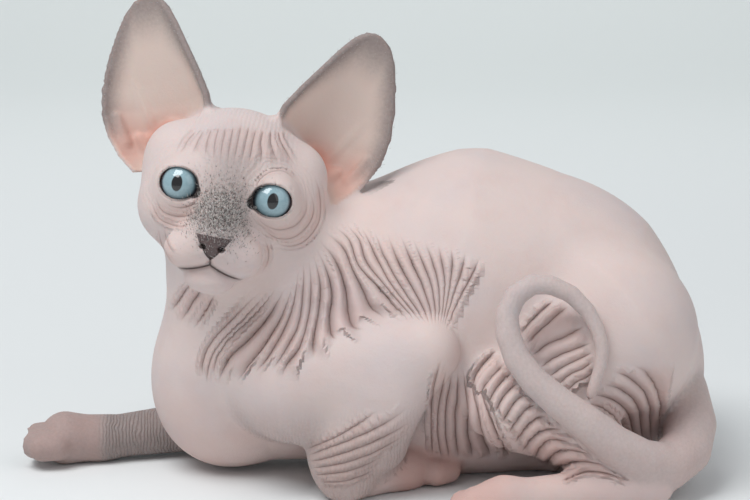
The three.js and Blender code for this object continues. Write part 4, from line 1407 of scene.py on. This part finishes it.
def add_hairs(name, skin, share, material, count, tall, lean, seed):
    """A piece of hairs, with the patches of the unwrap as its UV map."""
    points, faces, unwrap = hairs(skin, share, count, tall, lean, seed)
    made = new_piece(name, points, faces, material)
    corner = np.empty(len(made.data.loops), np.int32)
    made.data.loops.foreach_get("vertex_index", corner)
    layer = made.data.uv_layers.new(name="OFBake")
    layer.data.foreach_set("uv", unwrap.reshape(-1, 2)[corner].astype(np.float32).ravel())


class KITTEN_OT_hairs(bpy.types.Operator):
    """Build the short hairs on the bridge of the nose and on the ears' rims"""

    bl_idname = "kitten.hairs"
    bl_label = "Short hairs"

    def execute(self, context):
        settings = context.scene.kitten_hair
        skin = bpy.data.objects["skin"]
        tint = np.empty(len(skin.data.vertices) * 4, np.float32)
        skin.data.attributes["tint"].data.foreach_get("color", tint)
        speckle, _, _, rim = tint.reshape(-1, 4).astype(float).T
        pale = Graph("hair_pale", Roughness=0.6, Base_Color=(*settings.pale, 1)).material
        dark = Graph("hair_dark", Roughness=0.6, Base_Color=(*settings.dark, 1)).material
        # Name, where they grow, material, how many, height in millimetres, lean, and what their seed adds
        for name, share, material, count, tall, lean, more in (
            ("hair_nose", speckle, pale, settings.nose_hairs, 1.3, 0.9, 0),
            ("hair_nose_dark", speckle, dark, settings.nose_hairs, 1.0, 0.9, 5),
            ("hair_rims", rim**2, pale, settings.rim_hairs, 0.8, 0.45, 0),
        ):
            stand = (tall * MM, HEAD_AXES[2] * lean, settings.seed + more)
            add_hairs(name, skin, share, material, count, *stand)
        return {"FINISHED"}


class KITTEN_OT_stage(bpy.types.Operator):
    """Build the floor and backdrop, the lights, and the camera at the picture's angle"""

    bl_idname = "kitten.stage"
    bl_label = "Stage"

    def execute(self, context):
        settings = context.scene.kitten_stage
        scene = context.scene
        g = Graph("backdrop", Roughness=0.9)
        g.shader.inputs["Specular IOR Level"].default_value = 0.1
        _, y, z = g.split(g.place())
        behind = (y.step(0.3, 1.2) + z.step(0.0, 0.6)).clip()
        g.feed("Base Color", g.mix(behind, settings.floor, settings.backdrop))
        floor = cyclorama(g.material)
        for name, place, side, aim in LIGHTS:
            light(name, place, side, aim, getattr(settings, name + "_power"))
        world = bpy.data.worlds.new("studio")
        scene.world = world
        world.use_nodes = True
        sky = world.node_tree.nodes["Background"]
        sky.inputs["Color"].default_value = (*settings.sky, 1)
        sky.inputs["Strength"].default_value = settings.sky_power
        camera = bpy.data.cameras.new("camera")
        eye = bpy.data.objects.new("camera", camera)
        scene.collection.objects.link(eye)
        aim = Vector(shift((0, 0, VIEW_HEIGHT)))
        back = Vector((0, -math.cos(VIEW_UP), math.sin(VIEW_UP)))
        eye.location = aim + back * VIEW_DISTANCE * MM
        eye.rotation_euler = back.to_track_quat("Z", "Y").to_euler()
        camera.lens = SENSOR * VIEW_DISTANCE / PIXEL / PICTURE[0]
        camera.sensor_width = SENSOR
        camera.clip_start = 0.01
        scene.camera = eye
        scene.render.resolution_x, scene.render.resolution_y = PICTURE
        scene.view_settings.view_transform = "Standard"
        return {"FINISHED"}


def cyclorama(material):
    """A floor that curves up into a backdrop: a profile of floor, quarter circle and wall, swept sideways."""
    turn = np.linspace(0, math.pi / 2, CURVE_STEPS)
    curve = FLOOR_CURVE * np.stack((np.sin(turn), 1 - np.cos(turn)), 1) + (FLOOR_BACK, 0)
    profile = np.vstack(((-FLOOR_FRONT, 0), curve, (FLOOR_BACK + FLOOR_CURVE, WALL_HEIGHT)))
    x = np.linspace(-FLOOR_SIDE, FLOOR_SIDE, 5)
    points = np.array([(side, y, z) for side in x for y, z in profile])
    return new_object("floor", points, grid_faces(len(x), len(profile)), material)


def grid_faces(rows, columns):
    """The four-sided faces of a grid of points, row after row."""
    ids = np.arange(rows * columns).reshape(rows, columns)
    return np.stack((ids[:-1, :-1], ids[1:, :-1], ids[1:, 1:], ids[:-1, 1:]), -1).reshape(-1, 4)


def light(name, place, side, aim, power):
    """A square soft light at a place, turned towards its aim."""
    lamp = bpy.data.lights.new(name, "AREA")
    lamp.size = side
    lamp.energy = power
    made = bpy.data.objects.new(name, lamp)
    made.location = place
    made.rotation_euler = (Vector(place) - Vector(aim)).to_track_quat("Z", "Y").to_euler()
    bpy.context.scene.collection.objects.link(made)


class KITTEN_PT_panel(bpy.types.Panel):
    bl_label = "Kitten"
    bl_space_type = "VIEW_3D"
    bl_region_type = "UI"
    bl_category = "Kitten"

    def draw(self, context):
        for operator in OPERATORS:
            self.layout.operator(operator.bl_idname)
        for name, group in SETTINGS.items():
            box = self.layout.box()
            for key in group.__annotations__:
                box.prop(getattr(context.scene, name), key)


OPERATORS = (KITTEN_OT_skin, KITTEN_OT_eyes, KITTEN_OT_hairs, KITTEN_OT_stage)
SETTINGS = {
    "kitten_skin": SkinSettings,
    "kitten_eyes": EyeSettings,
    "kitten_hair": HairSettings,
    "kitten_stage": StageSettings,
}
CLASSES = (*SETTINGS.values(), *OPERATORS, KITTEN_PT_panel)


def register():
    for cls in CLASSES:
        bpy.utils.register_class(cls)
    for name, group in SETTINGS.items():
        setattr(bpy.types.Scene, name, PointerProperty(type=group))


def unregister():
    for name in SETTINGS:
        delattr(bpy.types.Scene, name)
    for cls in reversed(CLASSES):
        bpy.utils.unregister_class(cls)


def main():
    """Registers the operators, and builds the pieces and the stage."""
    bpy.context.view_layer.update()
    register()
    bpy.ops.kitten.skin()
    bpy.ops.kitten.eyes()
    bpy.ops.kitten.hairs()
    bpy.ops.kitten.stage()


if __name__ == "__main__":
    main()
